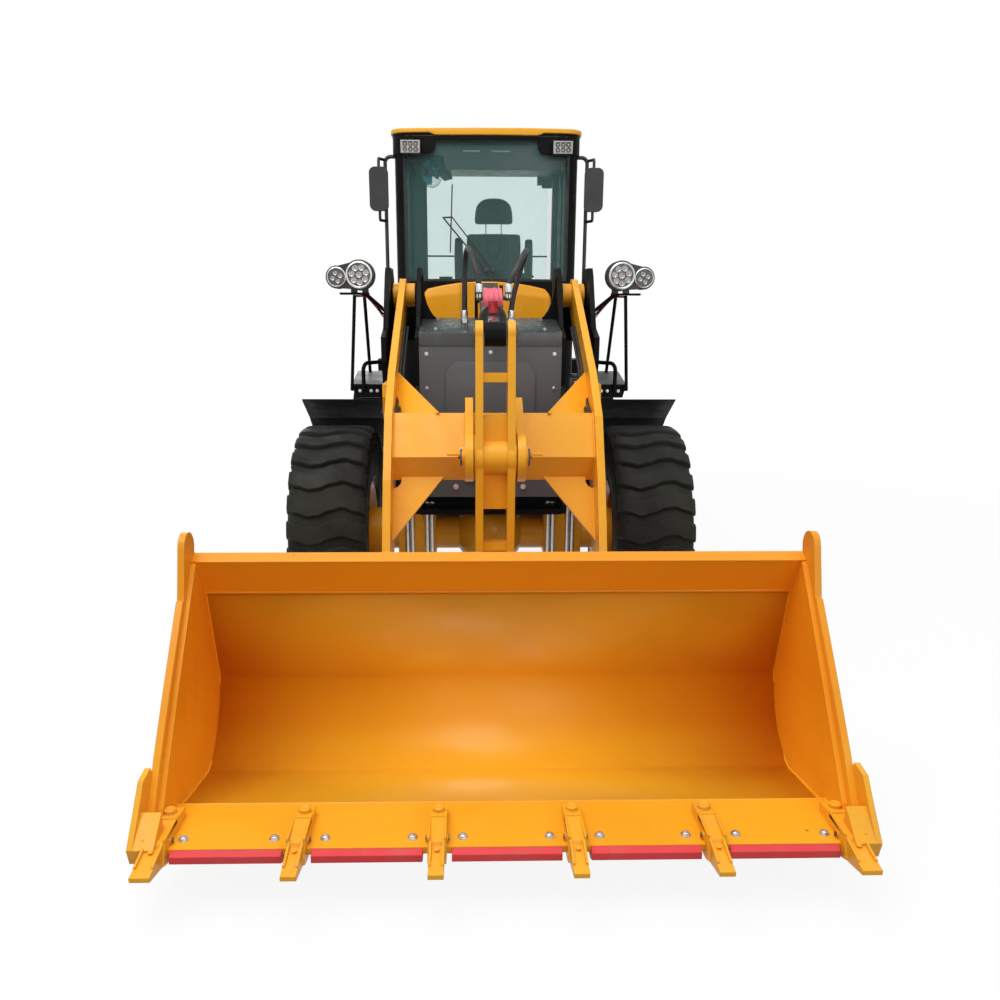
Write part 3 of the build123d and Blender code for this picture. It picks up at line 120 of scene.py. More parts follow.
def seen_ray(nodes, links):
    """1 for rays that the eye, a mirror or a window sends out."""
    path = nodes.new("ShaderNodeLightPath")
    total = path.outputs["Is Camera Ray"]
    for other in ("Is Glossy Ray", "Is Transmission Ray"):
        add = nodes.new("ShaderNodeMath")
        add.operation = "MAXIMUM"
        links.new(total, add.inputs[0])
        links.new(path.outputs[other], add.inputs[1])
        total = add.outputs[0]
    return total


def make_world():
    """White for the eye, mirrors and windows; for the rest a cloudy sky, brightest overhead."""
    world = bpy.data.worlds.new("sky")
    bpy.context.scene.world = world
    world.use_nodes = True
    nodes, links = world.node_tree.nodes, world.node_tree.links
    ambient = nodes["Background"]
    dial(ambient, Color=(0.93, 0.97, 1.0, 1))
    split = nodes.new("ShaderNodeSeparateXYZ")
    links.new(nodes.new("ShaderNodeTexCoord").outputs["Generated"], split.inputs[0])
    climb = nodes.new("ShaderNodeMapRange")
    dial(climb, To_Min=SKY_LOW, To_Max=SKY_HIGH)
    links.new(split.outputs["Z"], climb.inputs["Value"])
    links.new(climb.outputs[0], ambient.inputs["Strength"])
    white = nodes.new("ShaderNodeBackground")
    dial(white, Color=(1, 1, 1, 1))
    mix = nodes.new("ShaderNodeMixShader")
    links.new(seen_ray(nodes, links), mix.inputs["Fac"])
    links.new(ambient.outputs[0], mix.inputs[1])
    links.new(white.outputs[0], mix.inputs[2])
    links.new(mix.outputs[0], nodes["World Output"].inputs["Surface"])


def make_floor():
    """A plain light floor that takes the machine's shadow."""
    mesh = bpy.data.meshes.new("floor")
    r = 60.0
    mesh.from_pydata([(-r, -r, 0), (r, -r, 0), (r, r, 0), (-r, r, 0)], [], [(0, 1, 2, 3)])
    floor = bpy.data.objects.new("floor", mesh)
    bpy.context.scene.collection.objects.link(floor)
    mat = bpy.data.materials.new("floor")
    mat.use_nodes = True
    nodes, links = mat.node_tree.nodes, mat.node_tree.links
    seen = seen_ray(nodes, links)
    bsdf = nodes["Principled BSDF"]
    dial(bsdf, Roughness=1.0, Specular_IOR_Level=0.0)
    tone = nodes.new("ShaderNodeMapRange")
    dial(tone, To_Min=FLOOR_BOUNCE, To_Max=0.95)
    links.new(seen, tone.inputs["Value"])
    links.new(tone.outputs[0], bsdf.inputs["Base Color"])
    coords = nodes.new("ShaderNodeTexCoord")
    length = nodes.new("ShaderNodeVectorMath")
    length.operation = "LENGTH"
    links.new(coords.outputs["Object"], length.inputs[0])
    ramp = nodes.new("ShaderNodeMapRange")
    ramp.interpolation_type = "SMOOTHSTEP"
    dial(ramp, From_Min=WHITE_FROM, From_Max=WHITE_FULL, To_Min=WHITE_SHARE, To_Max=1.0)
    links.new(length.outputs["Value"], ramp.inputs["Value"])
    both = nodes.new("ShaderNodeMath")
    both.operation = "MULTIPLY"
    links.new(ramp.outputs[0], both.inputs[0])
    links.new(seen, both.inputs[1])
    glow = nodes.new("ShaderNodeEmission")
    mix = nodes.new("ShaderNodeMixShader")
    links.new(both.outputs[0], mix.inputs["Fac"])
    links.new(bsdf.outputs[0], mix.inputs[1])
    links.new(glow.outputs[0], mix.inputs[2])
    links.new(mix.outputs[0], nodes["Material Output"].inputs["Surface"])
    mesh.materials.append(mat)


def make_lights():
    area_light("sky_panel", (-2.0, FRONT_Y - 3.5, 9.0), (0, FRONT_Y - 0.5, 0.9), 7.0, 560.0)
    area_light("front_panel", (3.5, FRONT_Y - 9.0, 4.0), (0, FRONT_Y, 1.3), 5.0, 95.0)
    area_light("back_panel", (-2.0, 8.0, 6.0), (0, 1.0, 1.5), 5.0, 260.0)


# ---- materials ------------------------------------------------------------------------------
class Surface:
    """A Principled material built up in layers, in the piece's own coordinates."""

    def __init__(self, name, color, rough, metal=0.0, coat=0.0):
        self.mat = bpy.data.materials.new(name)
        self.mat.use_nodes = True
        self.nodes, self.links = self.mat.node_tree.nodes, self.mat.node_tree.links
        self.bsdf = self.nodes["Principled BSDF"]
        self.coords = self.nodes.new("ShaderNodeTexCoord").outputs["Object"]
        self.color, self.rough = (*color, 1), rough
        dial(self.bsdf, Base_Color=self.color, Roughness=rough, Metallic=metal)
        dial(self.bsdf, Coat_Weight=coat, Coat_Roughness=0.18)
        self.color_out = None
        self.normal_out = None

    def noise(self, scale, detail=3.0, stretch=None, rough=0.5):
        tex = self.nodes.new("ShaderNodeTexNoise")
        dial(tex, Scale=scale, Detail=detail, Roughness=rough)
        source = self.coords
        if stretch:
            mapping = self.nodes.new("ShaderNodeMapping")
            dial(mapping, Scale=stretch)
            self.links.new(source, mapping.inputs["Vector"])
            source = mapping.outputs[0]
        self.links.new(source, tex.inputs["Vector"])
        return tex.outputs["Fac"]

    def window(self, value, low, high, to_low=0.0, to_high=1.0):
        node = self.nodes.new("ShaderNodeMapRange")
        node.interpolation_type = "SMOOTHSTEP"
        dial(node, From_Min=low, From_Max=high, To_Min=to_low, To_Max=to_high)
        self.links.new(value, node.inputs["Value"])
        return node.outputs[0]

    def math(self, kind, a, b):
        node = self.nodes.new("ShaderNodeMath")
        node.operation = kind
        for i, v in enumerate((a, b)):
            if isinstance(v, (int, float)):
                node.inputs[i].default_value = v
            else:
                self.links.new(v, node.inputs[i])
        return node.outputs[0]

    def tint(self, color, mask):
        """Lay a colour over what is there, where mask is 1."""
        mix = self.nodes.new("ShaderNodeMix")
        mix.data_type = "RGBA"
        sockets = [s for s in mix.inputs if s.type == "RGBA"]
        if self.color_out is None:
            sockets[0].default_value = self.color
        else:
            self.links.new(self.color_out, sockets[0])
        sockets[1].default_value = (*color, 1)
        self.links.new(mask, mix.inputs["Factor"])
        self.color_out = next(s for s in mix.outputs if s.type == "RGBA")
        return self

    def height(self):
        """Height above the ground, in the piece's coordinates."""
        split = self.nodes.new("ShaderNodeSeparateXYZ")
        self.links.new(self.coords, split.inputs[0])
        return split.outputs["Z"]

    def round_edges(self, radius):
        node = self.nodes.new("ShaderNodeBevel")
        node.samples = 4
        dial(node, Radius=radius)
        if self.normal_out is not None:
            self.links.new(self.normal_out, node.inputs["Normal"])
        self.normal_out = node.outputs[0]
        return self

    def bump(self, value, strength, distance):
        node = self.nodes.new("ShaderNodeBump")
        dial(node, Strength=strength, Distance=distance)
        self.links.new(value, node.inputs["Height"])
        if self.normal_out is not None:
            self.links.new(self.normal_out, node.inputs["Normal"])
        self.normal_out = node.outputs[0]
        return self

    def shine(self, value, low, high):
        self.links.new(self.window(value, 0.3, 0.7, low, high), self.bsdf.inputs["Roughness"])
        return self

    def done(self):
        if self.color_out is not None:
            self.links.new(self.color_out, self.bsdf.inputs["Base Color"])
        if self.normal_out is not None:
            self.links.new(self.normal_out, self.bsdf.inputs["Normal"])
        return self.mat


YELLOW = (0.93, 0.43, 0.022)
DUST = (0.33, 0.27, 0.19)


def enamel(name, color, deep, pale, rough=0.32, dusty=0.25, coat=0.2, edge=0.004, gloss=0.5):
    """Sprayed enamel: slight drift of tone, orange peel, dust low down, soft plate edges."""
    s = Surface(name, color, rough, coat=coat)
    dial(s.bsdf, Specular_IOR_Level=gloss)
    s.tint(deep, s.window(s.noise(1.4, 4.0), 0.42, 0.75, 0.0, 0.35))
    s.tint(pale, s.window(s.noise(6.0, 5.0), 0.55, 0.85, 0.0, 0.25))
    low = s.window(s.height(), 1.3, 0.1)
    patches = s.window(s.noise(9.0, 8.0, rough=0.7), 0.45, 0.8)
    s.tint(DUST, s.math("MULTIPLY", patches, s.math("MULTIPLY", low, dusty)))
    s.tint(DUST, s.window(s.noise(34.0, 6.0, rough=0.75), 0.66, 0.8, 0.0, dusty * 0.6))
    s.round_edges(edge)
    s.bump(s.noise(180.0, 2.0), 0.05, 0.002)
    s.bump(s.noise(4.0, 2.0), 0.12, 0.01)
    s.shine(s.noise(11.0, 5.0), rough - 0.08, rough + 0.14)
    return s.done()


def bucket_paint():
    """The bucket's enamel: painted shade deeper in the upper hollow, a painted golden highlight on the floor,
    with a few chips.
    """
    s = Surface("bucket_enamel", (0.92, 0.385, 0.014), 0.34, coat=0.08)
    dial(s.bsdf, Specular_IOR_Level=0.28)
    # painted shade: a deeper orange high on the back of the hollow, where less light falls
    s.tint((0.85, 0.285, 0.009), s.window(s.height(), 0.34, 0.62, 0.0, 0.62))
    # painted highlight: a lighter golden tone on the floor, which faces the light
    s.tint((0.95, 0.46, 0.022), s.window(s.height(), 0.29, 0.20, 0.0, 0.75))
    s.tint((0.80, 0.27, 0.010), s.window(s.noise(1.1, 4.0), 0.40, 0.72, 0.0, 0.30))
    s.tint((0.96, 0.47, 0.035), s.window(s.noise(5.0, 6.0, stretch=(0.4, 1, 1)), 0.58, 0.85, 0.0, 0.25))
    scuff = s.window(s.noise(7.0, 9.0, stretch=(1, 0.16, 1), rough=0.75), 0.60, 0.74)
    floor = s.window(s.height(), 0.42, 0.2)
    s.tint((0.68, 0.33, 0.05), s.math("MULTIPLY", scuff, s.math("MULTIPLY", floor, 0.5)))
    chips = s.window(s.noise(26.0, 3.0, rough=0.6), 0.77, 0.785)
    s.tint((0.08, 0.045, 0.03), s.math("MULTIPLY", chips, 0.8))
    s.tint(DUST, s.window(s.noise(60.0, 8.0, rough=0.8), 0.66, 0.9, 0.0, 0.12))
    s.round_edges(0.004)
    s.bump(s.noise(150.0, 2.0), 0.05, 0.002)
    s.bump(s.noise(2.2, 3.0), 0.25, 0.02)
    s.shine(s.noise(8.0, 6.0), 0.28, 0.46)
    return s.done()


def tyre_rubber():
    """Dusty, weathered tyre."""
    s = Surface("tyre_rubber", (0.014, 0.014, 0.012), 0.62)
    dial(s.bsdf, Specular_IOR_Level=0.16)
    s.tint((0.030, 0.030, 0.022), s.window(s.noise(2.2, 6.0, rough=0.6), 0.38, 0.72, 0.0, 0.8))
    s.tint((0.06, 0.057, 0.045), s.window(s.noise(16.0, 8.0, rough=0.75), 0.55, 0.85, 0.0, 0.35))
    s.tint((0.012, 0.012, 0.011), s.window(s.noise(45.0, 4.0), 0.6, 0.8, 0.0, 0.6))
    s.bump(s.noise(70.0, 6.0, rough=0.7), 0.25, 0.003)
    s.bump(s.noise(380.0, 3.0), 0.12, 0.001)
    s.shine(s.noise(6.0, 5.0), 0.5, 0.8)
    return s.done()


def rubber(name, color=(0.018, 0.018, 0.019), rough=0.5):
    """Plain rubber for hoses, seals and wires."""
    s = Surface(name, color, rough)
    s.tint(tuple(c * 2.4 + 0.01 for c in color), s.window(s.noise(12.0, 6.0, rough=0.7), 0.5, 0.85, 0.0, 0.5))
    s.bump(s.noise(240.0, 3.0), 0.15, 0.001)
    s.shine(s.noise(18.0, 4.0), rough - 0.1, rough + 0.18)
    return s.done()


def plastic(name, color, rough=0.45):
    """Moulded plastic with a fine grain and a little dust."""
    s = Surface(name, color, rough)
    s.tint(tuple(c * 1.7 + 0.01 for c in color), s.window(s.noise(5.0, 6.0), 0.45, 0.8, 0.0, 0.5))
    s.tint(DUST, s.window(s.noise(22.0, 7.0, rough=0.75), 0.62, 0.85, 0.0, 0.16))
    s.round_edges(0.003)
    s.bump(s.noise(260.0, 2.0), 0.18, 0.001)
    s.shine(s.noise(14.0, 4.0), rough - 0.08, rough + 0.12)
    return s.done()


def steel(name, color, rough, worn=0.5):
    """Bare or plated steel: darker where it is worn, with a trace of rust."""
    s = Surface(name, color, rough, metal=1.0)
    wear = s.noise(40.0, 7.0, rough=0.7)
    s.tint(tuple(c * 0.45 for c in color), s.window(wear, 0.45, 0.75, 0.0, worn))
    s.tint((0.20, 0.09, 0.04), s.window(s.noise(14.0, 8.0, rough=0.8), 0.66, 0.85, 0.0, worn * 0.5))
    s.bump(s.noise(220.0, 3.0), 0.12, 0.001)
    s.shine(s.noise(30.0, 5.0), rough - 0.06, rough + 0.16)
    return s.done()


def glass_pane(name, color, alpha):
    """Pale green safety glass, thin enough to look straight through, with a little dust."""
    s = Surface(name, color, 0.03)
    specks = s.noise(60.0, 8.0, rough=0.8)
    s.tint((0.50, 0.54, 0.50), s.window(specks, 0.66, 0.9, 0.0, 0.5))
    dust = s.window(specks, 0.66, 0.9, alpha, alpha + 0.10)
    s.links.new(dust, s.bsdf.inputs["Alpha"])
    s.shine(s.noise(30.0, 6.0), 0.02, 0.1)
    return s.done()


def tinted_film(name, color):
    """Clear green film: light passes straight through and takes its tint, a little uneven."""
    s = Surface(name, color, 0.0)
    s.tint(tuple(c * 0.97 for c in color), s.window(s.noise(3.0, 4.0), 0.4, 0.7))
    dial(s.bsdf, Transmission_Weight=1.0, IOR=1.0)
    return s.done()


def cloth_weave(name, color, pale):
    """Woven seat cloth: crossed threads, a little fuzz."""
    s = Surface(name, color, 0.85)
    dial(s.bsdf, Sheen_Weight=0.35)
    waves = []
    for turn in ((0, 0, 0), (0, 0, pi / 2)):
        mapping = s.nodes.new("ShaderNodeMapping")
        dial(mapping, Rotation=turn)
        s.links.new(s.coords, mapping.inputs["Vector"])
        wave = s.nodes.new("ShaderNodeTexWave")
        dial(wave, Scale=110.0, Distortion=0.6)
        s.links.new(mapping.outputs[0], wave.inputs["Vector"])
        waves.append(wave.outputs["Fac"])
    weave = s.math("MULTIPLY", *waves)
    s.tint(pale, s.window(weave, 0.2, 0.9, 0.0, 0.6))
    s.tint(tuple(c * 1.8 for c in color), s.window(s.noise(7.0, 5.0), 0.5, 0.8, 0.0, 0.4))
    s.bump(weave, 0.35, 0.0015)
    return s.done()


def glowing_lens(name, color, rough=0.08):
    """Moulded lens plastic with fine flutes."""
    s = Surface(name, color, rough, coat=0.6)
    wave = s.nodes.new("ShaderNodeTexWave")
    dial(wave, Scale=60.0)
    s.links.new(s.coords, wave.inputs["Vector"])
    s.tint(tuple(c * 0.6 for c in color), s.window(wave.outputs["Fac"], 0.3, 0.7, 0.0, 0.5))
    s.bump(wave.outputs["Fac"], 0.3, 0.002)
    s.shine(s.noise(20.0, 3.0), rough, rough + 0.1)
    return s.done()


BLACK = (0.007, 0.007, 0.0075)
MAT = {
    "yellow": enamel("yellow_enamel", YELLOW, (0.86, 0.345, 0.014), (0.96, 0.50, 0.05), coat=0.08,
                     gloss=0.25),
    # painted light: the nose's enamel is a brighter, more orange copy of the yellow, to lift the panel out of
    # the shade it lies in
    "nose": enamel("nose_painted_light_enamel", (1.0, 0.41, 0.010), (0.98, 0.36, 0.008), (1.0, 0.47, 0.03), coat=0.1,
                   gloss=0.35),
    "bucket": bucket_paint(),
    "deck": enamel("deck_enamel", (0.055, 0.06, 0.06), (0.03, 0.032, 0.033), (0.16, 0.17, 0.165), rough=0.3,
                   dusty=0.3),
    "tyre": tyre_rubber(),
    "rubber": rubber("hose_rubber"),
    "seal": rubber("window_seal", (0.012, 0.012, 0.013), 0.55),
    "wire_red": rubber("red_wire", (0.45, 0.02, 0.02), 0.4),
    "plastic": plastic("black_plastic", (0.016, 0.016, 0.017)),
    "trim": plastic("cab_trim", (0.045, 0.048, 0.05), 0.6),
    "lamp_body": plastic("lamp_body", (0.02, 0.02, 0.021), 0.35),
    "lamp_white": plastic("lamp_white", (0.56, 0.53, 0.49), 0.5),
    "lamp_dark": plastic("lamp_dark", (0.10, 0.10, 0.09), 0.3),
    "blue": plastic("fan_blue", (0.03, 0.42, 0.62), 0.35),
    "chrome": steel("chrome_rod", (0.72, 0.72, 0.74), 0.14, worn=0.15),
    "zinc": steel("zinc_bolts", (0.66, 0.68, 0.68), 0.33, worn=0.35),
    "dark_steel": steel("dark_steel", (0.16, 0.15, 0.14), 0.45, worn=0.6),
    "pin_steel": steel("pin_steel", (0.13, 0.095, 0.07), 0.5, worn=0.3),
    "mirror": steel("mirror_silver", (0.85, 0.87, 0.88), 0.06, worn=0.0),
    "lamp_bowl": steel("lamp_reflector", (0.42, 0.42, 0.41), 0.3, worn=0.3),
    "glass": glass_pane("cab_glass", (0.20, 0.50, 0.44), 0.100),
    "film": tinted_film("window_film", (0.865, 0.995, 0.960)),
    "lamp_glass": glass_pane("lamp_glass", (0.95, 0.96, 0.95), 0.10),
    "cloth": cloth_weave("seat_cloth", (0.120, 0.090, 0.088), (0.22, 0.175, 0.17)),
    "amber": glowing_lens("amber_lens", (0.9, 0.28, 0.02)),
    "red_lens": glowing_lens("red_lens", (0.62, 0.02, 0.015)),
    "clear_lens": glowing_lens("clear_lens", (0.75, 0.77, 0.76)),
}
MATT_ENAMELS = (              # look, colour, its deep and pale shades, roughness, dust, gloss
    ("black", BLACK, (0.004, 0.004, 0.0045), (0.018, 0.018, 0.019), 0.42, 0.10, 0.07),
    ("grey", (0.150, 0.152, 0.160), (0.115, 0.116, 0.124), (0.20, 0.20, 0.21), 0.5, 0.15, 0.25),
    ("barrel", (0.06, 0.052, 0.046), (0.03, 0.027, 0.025), (0.16, 0.13, 0.11), 0.4, 0.2, 0.3),
    # painted shade: a dark maroon copy of the guard's red paint, for its tongue
    ("red_painted_shade", (0.30, 0.012, 0.016), (0.2, 0.008, 0.01), (0.42, 0.05, 0.05), 0.5, 0.1, 0.2),
    ("red", (0.78, 0.065, 0.070), (0.62, 0.045, 0.05), (0.88, 0.18, 0.18), 0.5, 0.2, 0.2),
    # painted light: a pale pink copy of the guard's red paint, for its upward face
    ("red_painted_light", (0.84, 0.17, 0.22), (0.68, 0.08, 0.11), (0.9, 0.35, 0.38), 0.4, 0.2, 0.3),
)
for look, color, deep, pale, rough, dusty, gloss in MATT_ENAMELS:
    MAT[look] = enamel(look + "_enamel", color, deep, pale, rough, dusty, 0.0, gloss=gloss)

EYES = {                      # black-painted rod ends, (y, z)
    "tilt_rod": ((-1.030, 1.880),),
    "lift_rods": ((-0.370, 1.440),),
}
LOOKS = {                     # look of each node; the others are yellow
    "nose": "cab_nose",
    "barrel": "tilt_barrel",
    "bucket": "bucket",
    "grey": "tower_covers",
    "rubber": "tilt_hoses",
    "chrome": "lift_rods tilt_rod steer_rod_left steer_rod_right",
    "plastic": "work_lamps mirrors seat steering_column",
    "lamp_body": "head_lamps",
    "red_lens": "rear_lamps",
    "red": "wear_segments",
    "glass": "cab_glass door_glass_left door_glass_right",
    "dark_steel": "engine_block front_shaft rear_shaft",
    "tyre": "tyre_front_left tyre_front_right tyre_rear_left tyre_rear_right",
    "black": "axle_pads rear_frame front_frame front_fenders lamp_posts counterweight step_tanks rear_fenders"
             " cab_frame cab_floor stacks cab_door_left cab_door_right rear_grille side_boxes",
}


def paint_nodes():
    """Give every node its look, and the rods' eyes black paint."""
    look_of = {name: look for look, names in LOOKS.items() for name in names.split()}
    for name, obj in NODES.items():
        look = look_of.get(name, "yellow")
        obj.data.materials.clear()
        obj.data.materials.append(MAT[look])
        if name in EYES:
            obj.data.materials.append(MAT["black"])
            for face in obj.data.polygons:
                spot = obj.matrix_world @ face.center
                if any(hypot(spot.y - FRONT_Y - y, spot.z - z) < 0.085 for y, z in EYES[name]):
                    face.material_index = 1


# ---- making pieces --------------------------------------------------------------------------
def piece(name, bm, body, look, smooth=True, angle=40.0, stands_for=()):
    """Turn a bmesh in the row frame into a piece that rides on a body."""
    bmesh.ops.recalc_face_normals(bm, faces=bm.faces)
    mesh = bpy.data.meshes.new(name)
    bm.to_mesh(mesh)
    bm.free()
    obj = bpy.data.objects.new(name, mesh)
    bpy.context.scene.collection.objects.link(obj)
    mesh.materials.append(MAT[look])
    if smooth:
        mesh.shade_smooth()
        mesh.set_sharp_from_angle(angle=radians(angle))
    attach(obj, body)
    if stands_for:
        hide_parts(*stands_for)
    return obj


def frame_of(axis, spin=0.0):
    """Rotation that takes +Z to the given direction."""
    turn = Vector(axis).normalized().to_track_quat("Z", "Y").to_matrix().to_4x4()
    return turn @ Matrix.Rotation(spin, 4, "Z")


def bridge(bm, rows, closed=True):
    """Quads between neighbouring rows of vertices; closed joins each row's ends."""
    for low, high in zip(rows, rows[1:]):
        for k in range(len(low) - (0 if closed else 1)):
            j = (k + 1) % len(low)
            bm.faces.new((low[k], low[j], high[j], high[k]))


def thicken(obj, depth, offset=-1.0):
    """Give a single sheet its thickness."""
    solid = obj.modifiers.new("thick", "SOLIDIFY")
    solid.thickness = depth
    solid.offset = offset


def turned(bm, profile, spot, axis, count=32, spin=0.0):
    """A turned form: (radius, height) pairs swept about the axis through spot."""
    place = Matrix.Translation(spot) @ frame_of(axis, spin)
    rings = []
    for radius, height in profile:
        if radius < 1e-6:
            rings.append([bm.verts.new(place @ Vector((0, 0, height)))])
            continue
        ring = []
        for i in range(count):
            a = 2 * pi * i / count
            ring.append(bm.verts.new(place @ Vector((radius * cos(a), radius * sin(a), height))))
        rings.append(ring)
    for low, high in zip(rings, rings[1:]):
        for i in range(count):
            j = (i + 1) % count
            quad = [low[i % len(low)], low[j % len(low)], high[j % len(high)], high[i % len(high)]]
            quad = list(dict.fromkeys(quad))
            if len(quad) > 2:
                bm.faces.new(quad)
    return rings


def block(bm, low, high, bevel=0.0, segments=2):
    """A box with softened edges."""
    geom = bmesh.ops.create_cube(bm, size=1.0)
    size = [b - a for a, b in zip(low, high)]
    mid = [(a + b) / 2 for a, b in zip(low, high)]
    for v in geom["verts"]:
        v.co = Vector([c * s + m for c, s, m in zip(v.co, size, mid)])
    if bevel:
        edges = list({e for v in geom["verts"] for e in v.link_edges})
        bmesh.ops.bevel(bm, geom=edges, offset=bevel, segments=segments, profile=0.7, affect="EDGES")


def sheet_from(bm, outline, direction, bevel=0.0):
    """A plate: a flat outline pushed along a direction."""
    verts = [bm.verts.new(p) for p in outline]
    face = bm.faces.new(verts)
    grown = bmesh.ops.extrude_face_region(bm, geom=[face])
    moved = [g for g in grown["geom"] if isinstance(g, bmesh.types.BMVert)]
    bmesh.ops.translate(bm, verts=moved, vec=Vector(direction))
    if bevel:
        edges = list({e for v in verts + moved for e in v.link_edges})
        bmesh.ops.bevel(bm, geom=edges, offset=bevel, segments=2, profile=0.7, affect="EDGES")


def hex_bolt(bm, spot, axis, r=0.013, h=0.010, washer=True):
    """Hexagon head with a washer and a chamfered top."""
    if washer:
        turned(bm, [(0, 0), (r * 1.45, 0), (r * 1.45, 0.003), (0, 0.003)], spot, axis, 16)
    base = 0.003 if washer else 0.0
    turned(bm, [(r, base), (r, base + h * 0.85), (r * 0.86, base + h), (0, base + h)], spot, axis, 6, 0.4)
    turned(bm, [(r * 0.45, base + h - 0.001), (r * 0.45, base + h + 0.003), (0, base + h + 0.004)], spot,
           axis, 10)


def bolts(name, body, spots, axis, look="zinc", r=0.013, h=0.010, washer=True):
    """Several bolts as one piece."""
    bm = bmesh.new()
    for spot in spots:
        hex_bolt(bm, spot, axis, r, h, washer)
    return piece(name, bm, body, look)


def smooth_line(points, steps=10):
    """Points along a soft curve through the given ones."""
    out = []
    n = len(points)
    for i in range(n - 1):
        p0, p1 = points[max(i - 1, 0)], points[i]
        p2, p3 = points[i + 1], points[min(i + 2, n - 1)]
        for k in range(steps):
            t = k / steps
            t2, t3 = t * t, t * t * t
            bend = (2 * p0 - 5 * p1 + 4 * p2 - p3) * t2 + (3 * p1 - p0 - 3 * p2 + p3) * t3
            out.append(0.5 * ((2 * p1) + (p2 - p0) * t + bend))
    out.append(points[-1].copy())
    return out


def sweep(bm, line, radius, count=12, caps=True):
    """A round tube along a line of points; radius is a number or a function of the share along it."""
    n = len(line)
    rings = []
    tangent = (line[1] - line[0]).normalized()
    up = Vector(UP) if abs(tangent.z) < 0.9 else Vector((1, 0, 0))
    side = tangent.cross(up).normalized()
    for i, p in enumerate(line):
        ahead = line[min(i + 1, n - 1)] - line[max(i - 1, 0)]
        tangent = ahead.normalized()
        side = (side - tangent * side.dot(tangent)).normalized()
        other = tangent.cross(side)
        r = radius(i / (n - 1)) if callable(radius) else radius
        ring = []
        for k in range(count):
            a = 2 * pi * k / count
            ring.append(bm.verts.new(p + side * cos(a) * r + other * sin(a) * r))
        rings.append(ring)
    bridge(bm, rings)
    if caps:
        bm.faces.new(rings[0][::-1])
        bm.faces.new(rings[-1])


# ---- tyres ----------------------------------------------------------------------------------
LUGS = 26
GROOVE = 0.028                # depth between the lugs
TREAD_WAVE = ((-1.0, -0.010), (-0.75, 0.004), (-0.42, 0.026), (-0.1, 0.008), (0.2, -0.020), (0.45, -0.026),
              (0.75, -0.004), (1.0, 0.014))


WALL = (                      # sidewall: (inset from the widest, radius)
    (0.040, 0.319), (0.024, 0.332), (0.018, 0.345), (0.014, 0.352), (0.018, 0.358),
    (0.013, 0.40), (0.006, 0.455), (0.001, 0.505), (0.0005, 0.530), (0.0035, 0.534),
    (0.0035, 0.545), (0.0005, 0.549), (0.001, 0.575), (0.010, 0.607),
)


def wave_at(across):
    """How far a lug's middle line lies along the tread at a share of the half width."""
    for (x0, y0), (x1, y1) in zip(TREAD_WAVE, TREAD_WAVE[1:]):
        if across <= x1:
            t = (across - x0) / (x1 - x0)
            t = t * t * (3 - 2 * t)
            return y0 + (y1 - y0) * t
    return TREAD_WAVE[-1][1]


def tyre_mesh(name):
    """Carcass with ribbed sidewalls and waved tread bars, about the x axis at the origin."""
    bm = bmesh.new()
    half = TYRE_W / 2
    top = AXLE_Z - 0.0005
    base = top - GROOVE
    side = [(half - inset, r) for inset, r in WALL]
    side += [(half - 0.028, base - 0.004), (half * 0.55, base + 0.003), (0.0, base + 0.005)]
    profile = [(-x, r) for x, r in side] + [(x, r) for x, r in reversed(side[:-1])]
    count = LUGS * 6
    rings = []
    for x, r in profile:
        ring = []
        for i in range(count):
            a = 2 * pi * i / count
            ring.append(bm.verts.new((x, r * cos(a), r * sin(a))))
        rings.append(ring)
    bridge(bm, rings)
    steps = 24
    pitch = 2 * pi / LUGS
    for lug in range(LUGS):
        middle = lug * pitch
        rows = []
        for i in range(steps + 1):
            across = -1 + 2 * i / steps
            x = across * half * 0.985
            fall = max(0.0, abs(across) - 0.80) / 0.20
            crown = top - 0.0045 * across * across - 0.022 * fall * fall
            mid = wave_at(across)
            wide = 0.051 if abs(across) < 0.9 else 0.046
            row = []
            ends = ((-wide - 0.008, base - 0.014), (-wide, crown - 0.008), (-wide + 0.007, crown),
                    (0.0, crown + 0.0002),
                    (wide - 0.007, crown), (wide, crown - 0.008), (wide + 0.008, base - 0.014))
            for along, r in ends:
                a = middle + (mid + along) / top
                row.append(bm.verts.new((x, r * cos(a), r * sin(a))))
            rows.append(row)
        bridge(bm, rows, closed=False)
        bm.faces.new(rows[0])
        bm.faces.new(rows[-1][::-1])
    for sign in (-1, 1):
        for k in range(LUGS * 2):
            a = pitch * (k + 0.5) / 2
            turn = Matrix.Rotation(a, 4, "X")
            rib = bmesh.ops.create_cube(bm, size=1.0)
            for v in rib["verts"]:
                taper = 0.6 if v.co.y > 0 else 1.0
                v.co = Vector((v.co.x * 0.006 + sign * (half - 0.0045), v.co.y * 0.040 + 0.585,
                               v.co.z * 0.016 * taper))
                v.co = turn @ v.co
    bmesh.ops.recalc_face_normals(bm, faces=bm.faces)
    mesh = bpy.data.meshes.new(name)
    bm.to_mesh(mesh)
    bm.free()
    mesh.materials.append(MAT["tyre"])
    mesh.shade_smooth()
    mesh.set_sharp_from_angle(angle=radians(38))
    return mesh


WHEELS = {
    "front_left": (1, FRONT_Y),
    "front_right": (-1, FRONT_Y),
    "rear_left": (1, REAR_Y),
    "rear_right": (-1, REAR_Y),
}


def make_tyres():
    """One tyre mesh on four wheels, mirrored by a half turn."""
    mesh = tyre_mesh("tyre_tread")
    for name, (side, y) in WHEELS.items():
        obj = bpy.data.objects.new("tread_" + name, mesh)
        bpy.context.scene.collection.objects.link(obj)
        turn = Matrix.Rotation(pi, 4, "Z") if side < 0 else Matrix.Identity(4)
        obj.matrix_world = Matrix.Translation((side * HALF_TRACK, y, AXLE_Z)) @ turn
        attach(obj, "wheel_" + name)
        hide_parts("tyre_" + name)


